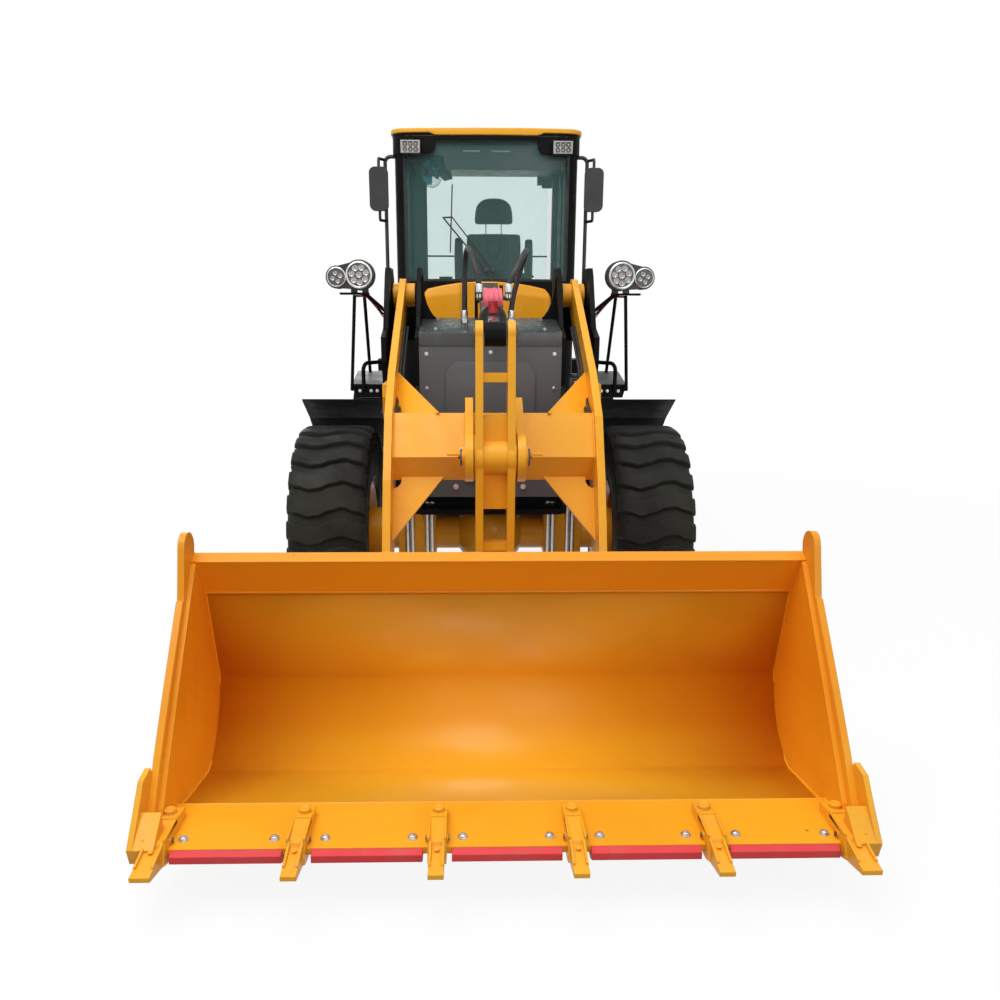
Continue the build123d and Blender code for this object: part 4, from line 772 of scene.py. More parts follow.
def make_wheel_details():
    """Wheel nuts, hub plug and valve of each wheel."""
    for name, (side, y) in WHEELS.items():
        body = "wheel_" + name
        face = side * (HALF_TRACK + 0.0205)
        bm = bmesh.new()
        for i in range(12):
            a = 2 * pi * i / 12
            spot = Vector((face, y + 0.205 * cos(a), AXLE_Z + 0.205 * sin(a)))
            hex_bolt(bm, spot, (side, 0, 0), 0.014, 0.016)
        piece("wheel_nuts_" + name, bm, body, "zinc")
        bm = bmesh.new()
        hub = Vector((side * (HALF_TRACK + 0.0695), y, AXLE_Z))
        turned(bm, [(0.058, 0), (0.058, 0.012), (0.050, 0.020), (0.020, 0.022), (0.018, 0.030), (0, 0.031)],
               hub, (side, 0, 0), 40)
        for i in range(8):
            a = 2 * pi * i / 8
            spot = hub + Vector((0, 0.110 * cos(a), 0.110 * sin(a)))
            hex_bolt(bm, spot - Vector((side * 0.034, 0, 0)), (side, 0, 0), 0.009, 0.008)
        piece("hub_cap_" + name, bm, body, "yellow")
        bm = bmesh.new()
        stem = Vector((side * (HALF_TRACK + 0.06), y + 0.17, AXLE_Z + 0.20))
        sweep(bm, [stem, stem + Vector((side * 0.04, -0.01, -0.012)),
                   stem + Vector((side * 0.06, -0.02, -0.03))], 0.005, 10)
        piece("valve_" + name, bm, body, "dark_steel")


# ---- bucket ---------------------------------------------------------------------------------
TOOTH_PITCH = 0.475           # between the teeth's middles
BUCKET_IN = 1.205             # inner face of a side plate


def weld_bead(bm, line, radius=0.006, ripple=0.0007):
    """A weld bead: a half-sunk round line with fine ripples."""
    fine = []
    for a, b in zip(line, line[1:]):
        steps = max(2, int((b - a).length / 0.006))
        fine += [a.lerp(b, k / steps) for k in range(steps)]
    fine.append(line[-1])
    n = len(fine)
    sweep(bm, fine, lambda t: radius + ripple * sin(t * n * 2.1), 8)


SHELL = ((-1.860, 0.870), (-1.772, 0.470), (-1.833, 0.276), (-2.040, 0.150), (-2.420, 0.205))


def shell_profile():
    """The bucket's inner skin from its rim to the edge, (y, z)."""
    (y1, z1), (y2, z2), (y3, z3) = SHELL[1:4]
    d = 2 * (y1 * (z2 - z3) + y2 * (z3 - z1) + y3 * (z1 - z2))
    s1, s2, s3 = y1 * y1 + z1 * z1, y2 * y2 + z2 * z2, y3 * y3 + z3 * z3
    cy = (s1 * (z2 - z3) + s2 * (z3 - z1) + s3 * (z1 - z2)) / d
    cz = (s1 * (y3 - y2) + s2 * (y1 - y3) + s3 * (y2 - y1)) / d
    r = hypot(y1 - cy, z1 - cz)
    a0, a1 = atan2(z1 - cz, y1 - cy), atan2(z3 - cz, y3 - cy)
    if a1 > a0:
        a1 -= 2 * pi
    arc = [(cy + r * cos(a0 + (a1 - a0) * k / 24), cz + r * sin(a0 + (a1 - a0) * k / 24)) for k in range(25)]
    return [SHELL[0]] + arc + [SHELL[4]]


def make_bucket_details():
    """Welds, cutter bolts and the teeth's castings."""
    line = shell_profile()
    bm = bmesh.new()
    for side in (-1, 1):
        x = side * (BUCKET_IN - 0.001)
        weld_bead(bm, [at(x, y, z + 0.002) for y, z in line])
        weld_bead(bm, [at(x, -1.862, 0.874), at(x, -1.940, 1.018)])
    weld_bead(bm, [at(-BUCKET_IN, -1.8615, 0.872), at(BUCKET_IN, -1.8615, 0.872)], 0.006)
    weld_bead(bm, [at(-BUCKET_IN, -2.404, 0.2275), at(BUCKET_IN, -2.404, 0.2275)], 0.007)
    weld_bead(bm, [at(-BUCKET_IN, -1.9455, 1.026), at(BUCKET_IN, -1.9455, 1.026)], 0.0035)
    for side in (-1, 1):
        x = side * 1.2275
        lip = ((-2.074, 0.905), (-2.296, 0.640), (-2.442, 0.455), (-2.560, 0.29))
        weld_bead(bm, [at(x, y, z) for y, z in lip], 0.005)
    piece("bucket_welds", bm, "bucket", "bucket")
    xs = [k * TOOTH_PITCH + off for k in (-1.5, -0.5, 0.5, 1.5) for off in (-0.087, 0.087)] + [-1.112, 1.112]
    bolts("edge_bolts", "bucket", [at(x, -2.618, 0.2268) for x in xs], (0, -0.015, 1), r=0.0125, h=0.009)
    bm = bmesh.new()
    for side in (-1, 1):
        for y, z in ((-2.105, 0.80), (-2.20, 0.685), (-2.305, 0.55), (-2.41, 0.405)):
            hex_bolt(bm, at(side * 1.2495, y, z), (side, 0, 0), 0.013, 0.009)
    piece("cutter_bolts", bm, "bucket", "zinc")
    teeth = [((k - 2.5) * TOOTH_PITCH, 0.032 if 0 < k < 5 else 0.039) for k in range(6)]
    bm = bmesh.new()
    for x, half in teeth:
        turned(bm, [(0.021, 0), (0.021, 0.006), (0.016, 0.009), (0.009, 0.006), (0, 0.006)],
               at(x, -2.515, 0.2755), UP, 20)
        for edge in (-1, 1):
            block(bm, at(x + edge * (half - 0.004) - 0.004, -2.690, 0.256),
                  at(x + edge * (half - 0.004) + 0.004, -2.560, 0.2735), 0.003)
        block(bm, at(x - half + 0.003, -2.566, 0.262), at(x + half - 0.003, -2.552, 0.277), 0.003)
        turned(bm, [(0.0, 0), (0.009, 0), (0.009, 0.003), (0, 0.004)], at(x, -2.72, 0.2475), (0, -0.12, 1), 14)
    piece("tooth_castings", bm, "bucket", "yellow")
    bm = bmesh.new()
    for x, half in teeth:
        for side in (-1, 1):
            turned(bm, [(0.0085, 0), (0.0085, 0.0045), (0, 0.005)],
                   at(x + side * (half + 0.005), -2.640, 0.240), (side, 0, 0), 14)
    piece("tooth_pins", bm, "bucket", "dark_steel")


# ---- boom and linkage -----------------------------------------------------------------------
ARM_X, ARM_T = 0.535, 0.040
GUARD_RIBS = 4
TILT_FOOT, TILT_EYE = (0.410, 2.080), (-1.030, 1.880)        # (y, z) of the pins
LIFT_FOOT, LIFT_EYE = (0.720, 1.270), (-0.370, 1.440)
CRANK_PIN = (-1.090, 1.300)
TILT_GLAND = ((0.038, 0), (0.070, 0.0), (0.072, 0.004), (0.072, 0.060), (0.068, 0.066), (0.048, 0.068),
              (0.046, 0.074), (0.037, 0.075))
LIFT_GLAND = ((0.037, 0), (0.063, 0.0), (0.065, 0.004), (0.065, 0.050), (0.061, 0.055), (0.044, 0.056),
              (0.042, 0.064), (0.037, 0.065))
STEER_GLAND = ((0.0235, 0), (0.046, 0.0), (0.047, 0.003), (0.047, 0.034), (0.044, 0.038), (0.029, 0.039),
               (0.028, 0.046), (0.0235, 0.047))


def pin_cap(bm, spot, axis, r):
    """Outer end of a pivot pin: a collar, a face with a grease nipple."""
    turned(bm, [(r, 0), (r, 0.006), (r * 0.93, 0.010), (r * 0.55, 0.010), (r * 0.5, 0.007), (0.008, 0.007)],
           spot, axis, 36)
    turned(bm, [(0.008, 0.007), (0.008, 0.013), (0.005, 0.015), (0.005, 0.020), (0, 0.021)], spot, axis, 12)


def make_boom_details():
    """Welds, pin ends, pin tabs and lubrication lines of the lift arms."""
    bm = bmesh.new()
    x = ARM_X - ARM_T / 2 - 0.001
    beam = ((-0.780, 1.480), (-0.910, 1.272), (-0.850, 1.144))
    for side in (-1, 1):
        weld_bead(bm, [at(side * x, y, z) for y, z in beam], 0.007)
        weld_bead(bm, [at(side * x, -0.402, 1.652), at(side * 0.282, -0.792, 1.478)], 0.006)
        weld_bead(bm, [at(side * 0.262, -0.860, 1.160), at(side * x, -1.006, 0.866)], 0.005)
        for ex in (0.1035, 0.1465):
            web = ((-0.785, 1.482), (-0.912, 1.273), (-0.852, 1.142))
            weld_bead(bm, [at(side * ex, y, z) for y, z in web], 0.005)
    piece("boom_welds", bm, "boom", "yellow")
    bm = bmesh.new()
    for side in (-1, 1):
        for lx in (ARM_X - 0.062, ARM_X + 0.062):
            out = 1 if lx > ARM_X else -1
            pin_cap(bm, at(side * lx, *LIFT_EYE), (side * out, 0, 0), 0.040)
        pin_cap(bm, at(side * (ARM_X + 0.108), -1.620, 0.380), (side, 0, 0), 0.050)
        pin_cap(bm, at(side * (ARM_X - 0.108), -1.620, 0.380), (-side, 0, 0), 0.050)
        pin_cap(bm, at(side * 0.159, *CRANK_PIN), (side, 0, 0), 0.044)
    piece("boom_pins", bm, "boom", "pin_steel")
    bm = bmesh.new()
    for side in (-1, 1):
        x0, x1 = sorted((side * 0.160, side * 0.232))
        block(bm, at(x0, -1.118, 1.312), at(x1, -1.080, 1.324), 0.003)
    piece("crank_pin_tabs", bm, "boom", "yellow")
    bm = bmesh.new()
    for side in (-1, 1):
        hex_bolt(bm, at(side * 0.159, -1.030, 1.3285), (side, 0, 0), 0.009, 0.007)
    piece("crank_lock_bolts", bm, "boom", "zinc")
    bm = bmesh.new()
    for side in (-1, 1):
        for x, route in (
            (0.508, ((0.10, 1.90), (-0.25, 1.72), (-0.55, 1.53), (-0.72, 1.47))),
            (0.492, ((0.12, 1.89), (-0.24, 1.71), (-0.54, 1.52), (-0.72, 1.458))),
        ):
            sweep(bm, smooth_line([at(side * x, y, z) for y, z in route], 8), 0.008, 10)
    piece("boom_lines", bm, "boom", "rubber")


def gland(name, body, look, start, end, along, shape, count):
    """The screwed head of a cylinder, at a distance along its line."""
    unit = (end - start).normalized()
    bm = bmesh.new()
    turned(bm, shape, start + unit * along, unit, count)
    piece(name, bm, body, look)


def make_linkage_details():
    """Pin ends, welds, the tilt cylinder's head and guard, and the other cylinders' heads."""
    bm = bmesh.new()
    for side in (-1, 1):
        pin_cap(bm, at(side * 0.095, *TILT_EYE), (side, 0, 0), 0.040)
        pin_cap(bm, at(side * 0.095, -1.080, 0.620), (side, 0, 0), 0.038)
    piece("bellcrank_pins", bm, "bellcrank", "pin_steel")
    bm = bmesh.new()
    for side in (-1, 1):
        seam = ring_of(at(side * 0.0965, *CRANK_PIN), (1, 0, 0), 0.104, 40)
        weld_bead(bm, seam + [seam[0]], 0.004)
    piece("bellcrank_welds", bm, "bellcrank", "yellow")
    # the tilt cylinder's head, with its red guard over the ports
    start, end = at(0, *TILT_FOOT), at(0, *TILT_EYE)
    unit = (end - start).normalized()
    up = Vector((1, 0, 0)).cross(unit)
    up = up if up.z > 0 else -up
    bm = bmesh.new()
    turned(bm, TILT_GLAND, start + unit * 0.936, unit, 48)
    for k in range(6):
        a = pi * (k + 0.5) / 3
        spot = start + unit * 1.002 + (Vector((1, 0, 0)) * cos(a) + up * sin(a)) * 0.058
        hex_bolt(bm, spot, unit, 0.0075, 0.007, False)
    piece("tilt_gland", bm, "tilt_barrel", "plastic")
    bm = bmesh.new()
    for side in (-1, 1):
        line = [start + unit * d + up * 0.062 + Vector((side * 0.028, 0, 0)) for d in (0.22, 0.5, 0.8, 0.90)]
        sweep(bm, smooth_line(line, 6), 0.011, 12)
        for d in (0.35, 0.7):
            spot = start + unit * d + up * 0.062 + Vector((side * 0.028, 0, 0))
            turned(bm, [(0, -0.014), (0.016, -0.014), (0.016, 0.014), (0, 0.014)], spot, unit, 16)
    piece("tilt_lines", bm, "tilt_barrel", "yellow")
    bm = bmesh.new()
    base = start + unit * 1.012 + up * 0.074
    across = Vector((1, 0, 0))
    low, high = [], []
    for k in range(-GUARD_RIBS * 4, GUARD_RIBS * 4 + 1):
        x = 0.054 * k / (GUARD_RIBS * 4)
        ripple = 0.0045 * cos(k * pi / 4) - 0.21 * abs(x)
        low.append(bm.verts.new(base + across * x + unit * (ripple + 0.004) - up * 0.004))
        high.append(bm.verts.new(base + across * x * 0.86 + unit * (ripple - 0.050) + up * 0.078))
    bridge(bm, (low, high), closed=False)
    # the guard's top takes red paint lightened as painted light
    thicken(piece("tilt_guard", bm, "tilt_barrel", "red_painted_light", angle=60), 0.004)
    bm = bmesh.new()
    line = [base + unit * 0.012 + up * 0.022, base + unit * 0.018, base + unit * 0.045 - up * 0.020,
            base + unit * 0.080 - up * 0.026]
    bridge(bm, [[bm.verts.new(p + across * x) for x in (-0.024, 0.024)] for p in line], closed=False)
    # the tongue takes red paint darkened as painted shade
    thicken(piece("tilt_guard_tongue", bm, "tilt_barrel", "red_painted_shade"), 0.007)
    # lift cylinders
    for side, label in SIDES:
        start, end = at(side * ARM_X, *LIFT_FOOT), at(side * ARM_X, *LIFT_EYE)
        gland("lift_gland_" + label, "lift_barrels", "dark_steel", start, end, 0.845, LIFT_GLAND, 40)
    for side, label in SIDES:
        start, end = at(side * 0.490, 2.080, 0.990), at(side * 0.330, 1.245, 0.990)
        barrel = "steer_barrel_" + label
        gland("steer_gland_" + label, barrel, "dark_steel", start, end, 0.542, STEER_GLAND, 32)


# ---- hoses ----------------------------------------------------------------------------------
HOSE_R = 0.0155
HOSE_ROUTES = {
    "right": ((-0.150, 0.030, 1.945), (-0.150, 0.030, 2.200), (-0.143, -0.024, 2.296),
              (-0.132, -0.118, 2.330), (-0.113, -0.212, 2.300), (-0.088, -0.264, 2.216),
              (-0.068, -0.282, 2.140), (-0.068, -0.282, 2.085)),
    "left": ((0.124, 0.030, 1.945), (0.124, 0.030, 2.030), (0.168, 0.024, 2.190),
             (0.194, -0.022, 2.282), (0.202, -0.112, 2.320), (0.180, -0.202, 2.290),
             (0.138, -0.254, 2.205), (0.092, -0.282, 2.135), (0.092, -0.282, 2.085)),
}


def nurbs_line(points, name):
    """Points along a NURBS curve of order 3 through the route's ends."""
    curve = bpy.data.curves.new(name, "CURVE")
    curve.dimensions = "3D"
    curve.resolution_u = 10
    spline = curve.splines.new("NURBS")
    spline.points.add(len(points) - 1)
    for p, co in zip(spline.points, points):
        p.co = (*co, 1)
    spline.order_u = 3
    spline.use_endpoint_u = True
    obj = bpy.data.objects.new(name, curve)
    bpy.context.scene.collection.objects.link(obj)
    bpy.context.view_layer.update()
    mesh = bpy.data.meshes.new_from_object(obj)
    line = [v.co.copy() for v in mesh.vertices]
    bpy.data.objects.remove(obj)
    bpy.data.meshes.remove(mesh)
    return line


def make_hoses():
    """The two pressure hoses from the deck to the tilt cylinder, with crimped ends."""
    for label, route in HOSE_ROUTES.items():
        line = nurbs_line([at(*p) for p in route], "route_" + label)
        bm = bmesh.new()
        sweep(bm, line, HOSE_R, 20)
        hose = piece("hose_" + label, bm, "front_frame", "rubber",
                     stands_for=("tilt_hoses",) if label == "left" else ())
        bm = bmesh.new()
        for spot, axis in ((line[0], line[1] - line[0]), (line[-1], line[-2] - line[-1])):
            turned(bm, [(0.0165, 0.0), (0.019, 0.0), (0.0195, 0.004), (0.0195, 0.040), (0.0175, 0.044),
                        (0.0165, 0.044)], spot, axis, 24)
            turned(bm, [(0.013, 0.002), (0.013, -0.010), (0.019, -0.010), (0.019, -0.030), (0.013, -0.032),
                        (0.0, -0.032)], spot, axis, 6)
        ends = piece("hose_ends_" + label, bm, "front_frame", "zinc")


# ---- front tower ----------------------------------------------------------------------------
def make_tower_details():
    """Relief and bolts of the grey panels, and what lies on the tower's deck."""
    # pressed relief in the upper front panel, and its bolts
    bm = bmesh.new()
    y = -0.1285
    outline = [(-0.262, 1.352), (0.262, 1.352), (0.262, 1.640),
               (0.205, 1.700), (-0.205, 1.700), (-0.262, 1.640)]
    sheet_from(bm, [at(x, y + 0.012, z) for x, z in outline], (0, -0.012, 0), 0.004)
    piece("panel_relief", bm, "front_frame", "grey")
    spots = [at(x, -0.1125, z) for x in (-0.372, 0.372) for z in (1.36, 1.55, 1.745)]
    spots.append(at(0, -0.1125, 1.755))
    bolts("panel_bolts", "front_frame", spots, AHEAD, r=0.0075, h=0.006)
    spots = [at(x, -0.3125, 1.002) for x in (-0.203, 0.187)]
    bolts("low_panel_bolts", "front_frame", spots, AHEAD, r=0.0115, h=0.008)
    # dark deck over the tower, with hose ports
    bm = bmesh.new()
    inside = 0.414
    outline = [at(-inside, -0.111, 1.8615), at(inside, -0.111, 1.8615), at(inside, 0.349, 1.9415),
               at(-inside, 0.349, 1.9415)]
    sheet_from(bm, outline, (0, 0, 0.003), 0.001)
    corners = ((-inside, 1.790), (inside, 1.790), (inside, 1.8635), (-inside, 1.8635))
    sheet_from(bm, [at(x, -0.1125, z) for x, z in corners], (0, -0.003, 0), 0.001)
    piece("deck_plate", bm, "front_frame", "deck")
    bm = bmesh.new()
    for side in (-1, 1):
        spot = at(-0.150 if side < 0 else 0.124, 0.030, 1.905)
        turned(bm, [(0.0205, -0.03), (0.0205, 0.012), (0.026, 0.012), (0.026, 0.034), (0.0205, 0.038),
                    (0.0, 0.038)], spot, UP, 6)
        hex_bolt(bm, at(side * 0.32, -0.02, 1.880), (0, -0.17, 1), 0.010, 0.007)
        hex_bolt(bm, at(side * 0.32, 0.26, 1.930), (0, -0.17, 1), 0.010, 0.007)
    piece("deck_fittings", bm, "front_frame", "zinc")
    # pivot pin ends and their keepers on the outer tower plates
    bm = bmesh.new()
    for side in (-1, 1):
        for (y, z), r in ((TILT_FOOT, 0.046), (LIFT_FOOT, 0.039)):
            turned(bm, [(r * 0.99, 0), (r * 0.99, 0.003), (r * 0.9, 0.006), (r * 0.45, 0.006),
                        (0.008, 0.003), (0, 0.003)], at(side * 0.647, y, z), (side, 0, 0), 36)
            hex_bolt(bm, at(side * 0.6355, y - r - 0.03, z + 0.02), (side, 0, 0), 0.010, 0.008)
    piece("tower_pins", bm, "front_frame", "zinc")
    bm = bmesh.new()
    for side in (-1, 1):
        for x in (0.355, 0.385, 0.475, 0.505):
            for y in (-0.120, 0.120):
                spot = at(side * x, y, AXLE_Z + 0.195)
                turned(bm, [(0.013, 0), (0.013, -0.30), (0, -0.30)], spot, UP, 12)
                hex_bolt(bm, spot, UP, 0.020, 0.016)
    piece("axle_studs", bm, "front_frame", "zinc")


LAMP_WIRES = (                # name, look, radius, sides, route
    ("lamp_wire_", "rubber", 0.006, 10, (
        (0.640, 0.150, 1.965), (0.672, 0.075, 2.012), (0.700, 0.0, 2.052), (0.722, -0.045, 2.0665),
        (0.750, -0.060, 2.066), (0.775, -0.065, 2.066))),
    ("lamp_wire_red_", "wire_red", 0.0035, 8, (
        (0.640, 0.140, 1.950), (0.668, 0.068, 1.998), (0.697, -0.005, 2.040), (0.718, -0.055, 2.0625),
        (0.745, -0.075, 2.066), (0.765, -0.078, 2.068))),
)


def make_side_details():
    """Lids, bolts and wiring beside the tower, and the lamps on their posts."""
    bm = bmesh.new()
    for side in (-1, 1):
        x0, x1 = sorted((side * 0.640, side * 0.833))
        sheet_from(bm,
                   [at(x0, 0.100, 1.5531), at(x1, 0.100, 1.5531), at(x1, 0.418, 1.6109),
                    at(x0, 0.418, 1.6109)], (0, 0, 0.003), 0.001)
    piece("box_lids", bm, "front_frame", "grey")
    spots = [at(side * x, 0.0995, 1.515) for side in (-1, 1) for x in (0.685, 0.722, 0.790)]
    bolts("box_bolts", "front_frame", spots, AHEAD, r=0.0065, h=0.005)
    for side, label in SIDES:
        for name, look, r, count, route in LAMP_WIRES:
            bm = bmesh.new()
            sweep(bm, smooth_line([at(side * x, y, z) for x, y, z in route], 8), r, count)
            piece(name + label, bm, "front_frame", look)


# ---- lamps ----------------------------------------------------------------------------------
def ring_of(spot, axis, r, count, turn=0.0):
    """Points on a circle about an axis."""
    place = Matrix.Translation(spot) @ frame_of(axis, turn)
    return [place @ Vector((r * cos(2 * pi * i / count), r * sin(2 * pi * i / count),
                            0)) for i in range(count)]


def make_head_lamps():
    """Bezel, LED bowls and clear cover for the big and the small lamp of each pod."""
    for side, label in SIDES:
        metal, bowls, glass, seats = bmesh.new(), bmesh.new(), bmesh.new(), bmesh.new()
        for x, z, r, count, back in ((0.745, 2.180, 0.074, 7, -0.1185), (0.872, 2.168, 0.054, 4, -0.1185)):
            spot = at(side * x, back, z)
            front = AHEAD
            turned(metal,
                   [(r, -0.004), (r * 1.02, 0.002), (r * 1.0, 0.008), (r * 0.91, 0.011), (r * 0.86, 0.008),
                    (r * 0.84, -0.002)], spot, front, 56)
            turned(seats, [(r * 0.86, 0.0005), (r * 0.5, 0.0012), (0, 0.0012)], spot, front, 40)
            turned(glass, [(r * 0.87, 0.006), (r * 0.7, 0.0085), (r * 0.4, 0.010), (0, 0.0105)], spot, front, 48)
            small = r * 0.225
            spots = [spot] if count > 4 else []
            spots += ring_of(spot, front, r * 0.56 if count > 4 else r * 0.42, 7 if count > 4 else 4, 0.3)
            for p in spots:
                turned(bowls,
                       [(small * 1.05, 0.001), (small, 0.006), (small * 0.86, 0.0055),
                        (small * 0.45, 0.002)], p, front, 20)
                turned(seats, [(small * 0.42, 0.002), (small * 0.3, 0.0045), (0, 0.0052)], p, front, 12)
        piece("lamp_bezel_" + label, metal, "front_frame", "zinc")
        piece("lamp_bowls_" + label, bowls, "front_frame", "lamp_bowl")
        piece("lamp_seats_" + label, seats, "front_frame", "lamp_white")
        piece("lamp_cover_" + label, glass, "front_frame", "lamp_glass")
    ribs = bmesh.new()
    for side in (-1, 1):
        for k in range(9):
            y = -0.108 + k * 0.0105
            turned(ribs, [(0.0798, -0.0018), (0.0838, -0.0012), (0.0838, 0.0012), (0.0798, 0.0018)],
                   at(side * 0.745, y, 2.180), (0, 1, 0), 40)
            turned(ribs, [(0.0598, -0.0018), (0.0632, -0.0012), (0.0632, 0.0012), (0.0598, 0.0018)],
                   at(side * 0.872, y, 2.168), (0, 1, 0), 32)
    piece("lamp_ribs", ribs, "front_frame", "lamp_body")


def led_lamp(body, bowls, seats, low, high, facing, columns=3, rows=2):
    """Work lamp face: a pale bezel with a grid of round bowls; facing is -1 for the front."""
    y = low.y if facing < 0 else high.y
    cx, cz = (low.x + high.x) / 2, (low.z + high.z) / 2
    w, h = (high.x - low.x) / 2, (high.z - low.z) / 2
    front = (0, facing, 0)
    rim = [(-w, -h), (w, -h), (w, h), (-w, h)]
    inner = [(x * 0.90, z * 0.86) for x, z in rim]
    rings = []
    for pts, depth in ((rim, 0.0), (rim, 0.006), ([(x * 0.95, z * 0.93) for x, z in rim], 0.009),
                       (inner, 0.009), (inner, 0.002)):
        rings.append([body.verts.new((cx + x, y + facing * depth, cz + z)) for x, z in pts])
    bridge(body, rings)
    body.faces.new(rings[-1])
    for i in range(columns):
        for j in range(rows):
            p = Vector((cx + (i - (columns - 1) / 2) * w * 0.56, y + facing * 0.003,
                        cz + (j - (rows - 1) / 2) * h * 0.84))
            turned(bowls, [(0.0165, 0.0), (0.0165, 0.004), (0.0140, 0.004), (0.006, 0.001)], p, front, 20)
            turned(seats, [(0.0062, 0.001), (0.0045, 0.0035), (0, 0.004)], p, front, 12)


def make_work_lamps():
    """Four lamps under the roof's edge, with their stems."""
    body, bowls, seats, stems = bmesh.new(), bmesh.new(), bmesh.new(), bmesh.new()
    for side in (-1, 1):
        x0, x1 = sorted((side * 0.454, side * 0.584))
        led_lamp(body, bowls, seats, at(x0, 1.125, 3.018), at(x1, 1.21, 3.098), -1)
        led_lamp(body, bowls, seats, at(x0, 2.56, 3.013), at(x1, 2.62, 3.088), 1)
        for y in (1.155, 2.60):
            block(stems, at(side * 0.519 - 0.012, y - 0.010, 3.094),
                  at(side * 0.519 + 0.012, y + 0.010, 3.142), 0.002)
            turned(stems, [(0, -0.016), (0.010, -0.016), (0.010, 0.016), (0, 0.016)],
                   at(side * 0.519, y, 3.106), (1, 0, 0), 14)
    piece("work_lamp_faces", body, "rear_frame", "lamp_white", smooth=False)
    piece("work_lamp_bowls", bowls, "rear_frame", "lamp_dark")
    piece("work_lamp_leds", seats, "rear_frame", "lamp_bowl")
    piece("work_lamp_stems", stems, "rear_frame", "black")


def make_rear_lamps():
    """The three lenses of each rear lamp."""
    for side, label in SIDES:
        y = 4.3105
        for x, look in ((0.795, "red_lens"), (0.860, "amber"), (0.925, "clear_lens")):
            bm = bmesh.new()
            block(bm, at(side * x - 0.030, y, 1.512), at(side * x + 0.030, y + 0.008, 1.568), 0.006, 3)
            piece("rear_lens_%s_%s" % (look, label), bm, "rear_frame", look)


# ---- cab ------------------------------------------------------------------------------------
CAB_FRONT_Y, CAB_REAR_Y, CAB_HALF = 1.230, 2.560, 0.640
CAB_BOW = 0.045               # how far the front window bows out
SILL_Z = 2.190                # its lower edge


def front_y(x, out=0.0):
    """The bowed front of the cab at x."""
    half = CAB_HALF + out
    r = (half * half + CAB_BOW * CAB_BOW) / (2 * CAB_BOW)
    return CAB_FRONT_Y - out + (r - CAB_BOW) - sqrt(max(r * r - x * x, 0))


def round_frame(x0, x1, z0, z1, r, count=8):
    """Corner-rounded rectangle as (x, z) points."""
    pts = []
    for cx, cz, start in ((x1 - r, z1 - r, 0), (x0 + r, z1 - r, 90), (x0 + r, z0 + r, 180),
                          (x1 - r, z0 + r, 270)):
        for k in range(count + 1):
            a = radians(start + 90.0 * k / count)
            pts.append((cx + r * cos(a), cz + r * sin(a)))
    return pts


def band(bm, outer, inner, lift):
    """Flat closed strip between two outlines of points, lifted by a vector."""
    a = [bm.verts.new(p) for p in outer]
    b = [bm.verts.new(p) for p in inner]
    c = [bm.verts.new(p + lift) for p in outer]
    d = [bm.verts.new(p + lift) for p in inner]
    n = len(a)
    for i in range(n):
        j = (i + 1) % n
        bm.faces.new((a[i], a[j], b[j], b[i]))
        bm.faces.new((c[i], c[j], d[j], d[i]))
        bm.faces.new((a[i], a[j], c[j], c[i]))
        bm.faces.new((b[i], b[j], d[j], d[i]))


def strip(points):
    """Fill in points along a straight edge so that it can bow."""
    out = []
    for (xa, za), (xb, zb) in zip(points, points[1:] + points[:1]):
        steps = max(1, int(abs(xb - xa) / 0.05))
        out += [(xa + (xb - xa) * k / steps, za + (zb - za) * k / steps) for k in range(steps)]
    return out


def make_windows():
    """Rubber seals round the front window and the doors' panes."""
    outer = strip(round_frame(-0.578, 0.578, SILL_Z, 3.120, 0.06))
    inner = [(x * 0.968, 2.655 + (z - 2.655) * 0.966) for x, z in outer]
    bm = bmesh.new()
    outer, inner = ([at(x, front_y(x, -0.012), z) for x, z in line] for line in (outer, inner))
    band(bm, outer, inner, Vector((0, -0.009, 0)))
    piece("front_seal", bm, "rear_frame", "seal", angle=30)
    for side, label in SIDES:
        bm = bmesh.new()
        outer = round_frame(1.426, 2.004, 1.724, 3.024, 0.05)
        inner = [(1.715 + (y - 1.715) * 0.945, 2.374 + (z - 2.374) * 0.972) for y, z in outer]
        outer, inner = ([at(side * 0.6405, y, z) for y, z in line] for line in (outer, inner))
        band(bm, outer, inner, Vector((-side * 0.012, 0, 0)))
        piece("door_seal_" + label, bm, "cab_door_" + label, "seal", angle=30)


def make_wiper():
    """Twin-link wiper on the front window."""
    bm = bmesh.new()
    out = 0.016
    base = at(0.000, front_y(0) - 0.010, 2.262)
    joint = at(-0.303, front_y(-0.303) - out, 2.613)
    sweep(bm, [base, base.lerp(joint, 0.5) + Vector((0, -0.006, 0)), joint], 0.0055, 10)
    base2 = at(0.050, front_y(0.05) - 0.010, 2.262)
    joint2 = at(-0.239, front_y(-0.239) - out, 2.614)
    sweep(bm, [base2, base2.lerp(joint2, 0.5) + Vector((0, -0.006, 0)), joint2], 0.0045, 10)
    sweep(bm, [at(-0.308, front_y(-0.308) - out, 2.613), at(-0.234, front_y(-0.234) - out, 2.616)], 0.006, 10)
    for p in (base, base2):
        turned(bm, [(0.016, -0.004), (0.016, 0.012), (0.010, 0.018), (0, 0.018)], p, AHEAD, 20)
    top, low = (-0.238, 2.830), (-0.255, 2.384)
    line = []
    for k in range(13):
        t = k / 12
        x, z = low[0] + (top[0] - low[0]) * t, low[1] + (top[1] - low[1]) * t
        line.append(at(x, front_y(x) - 0.006, z))
    sweep(bm, line, 0.0045, 8)
    sweep(bm, [p + Vector((0, -0.008, 0)) for p in line[2:11]], 0.0035, 8)
    piece("wiper", bm, "rear_frame", "trim")


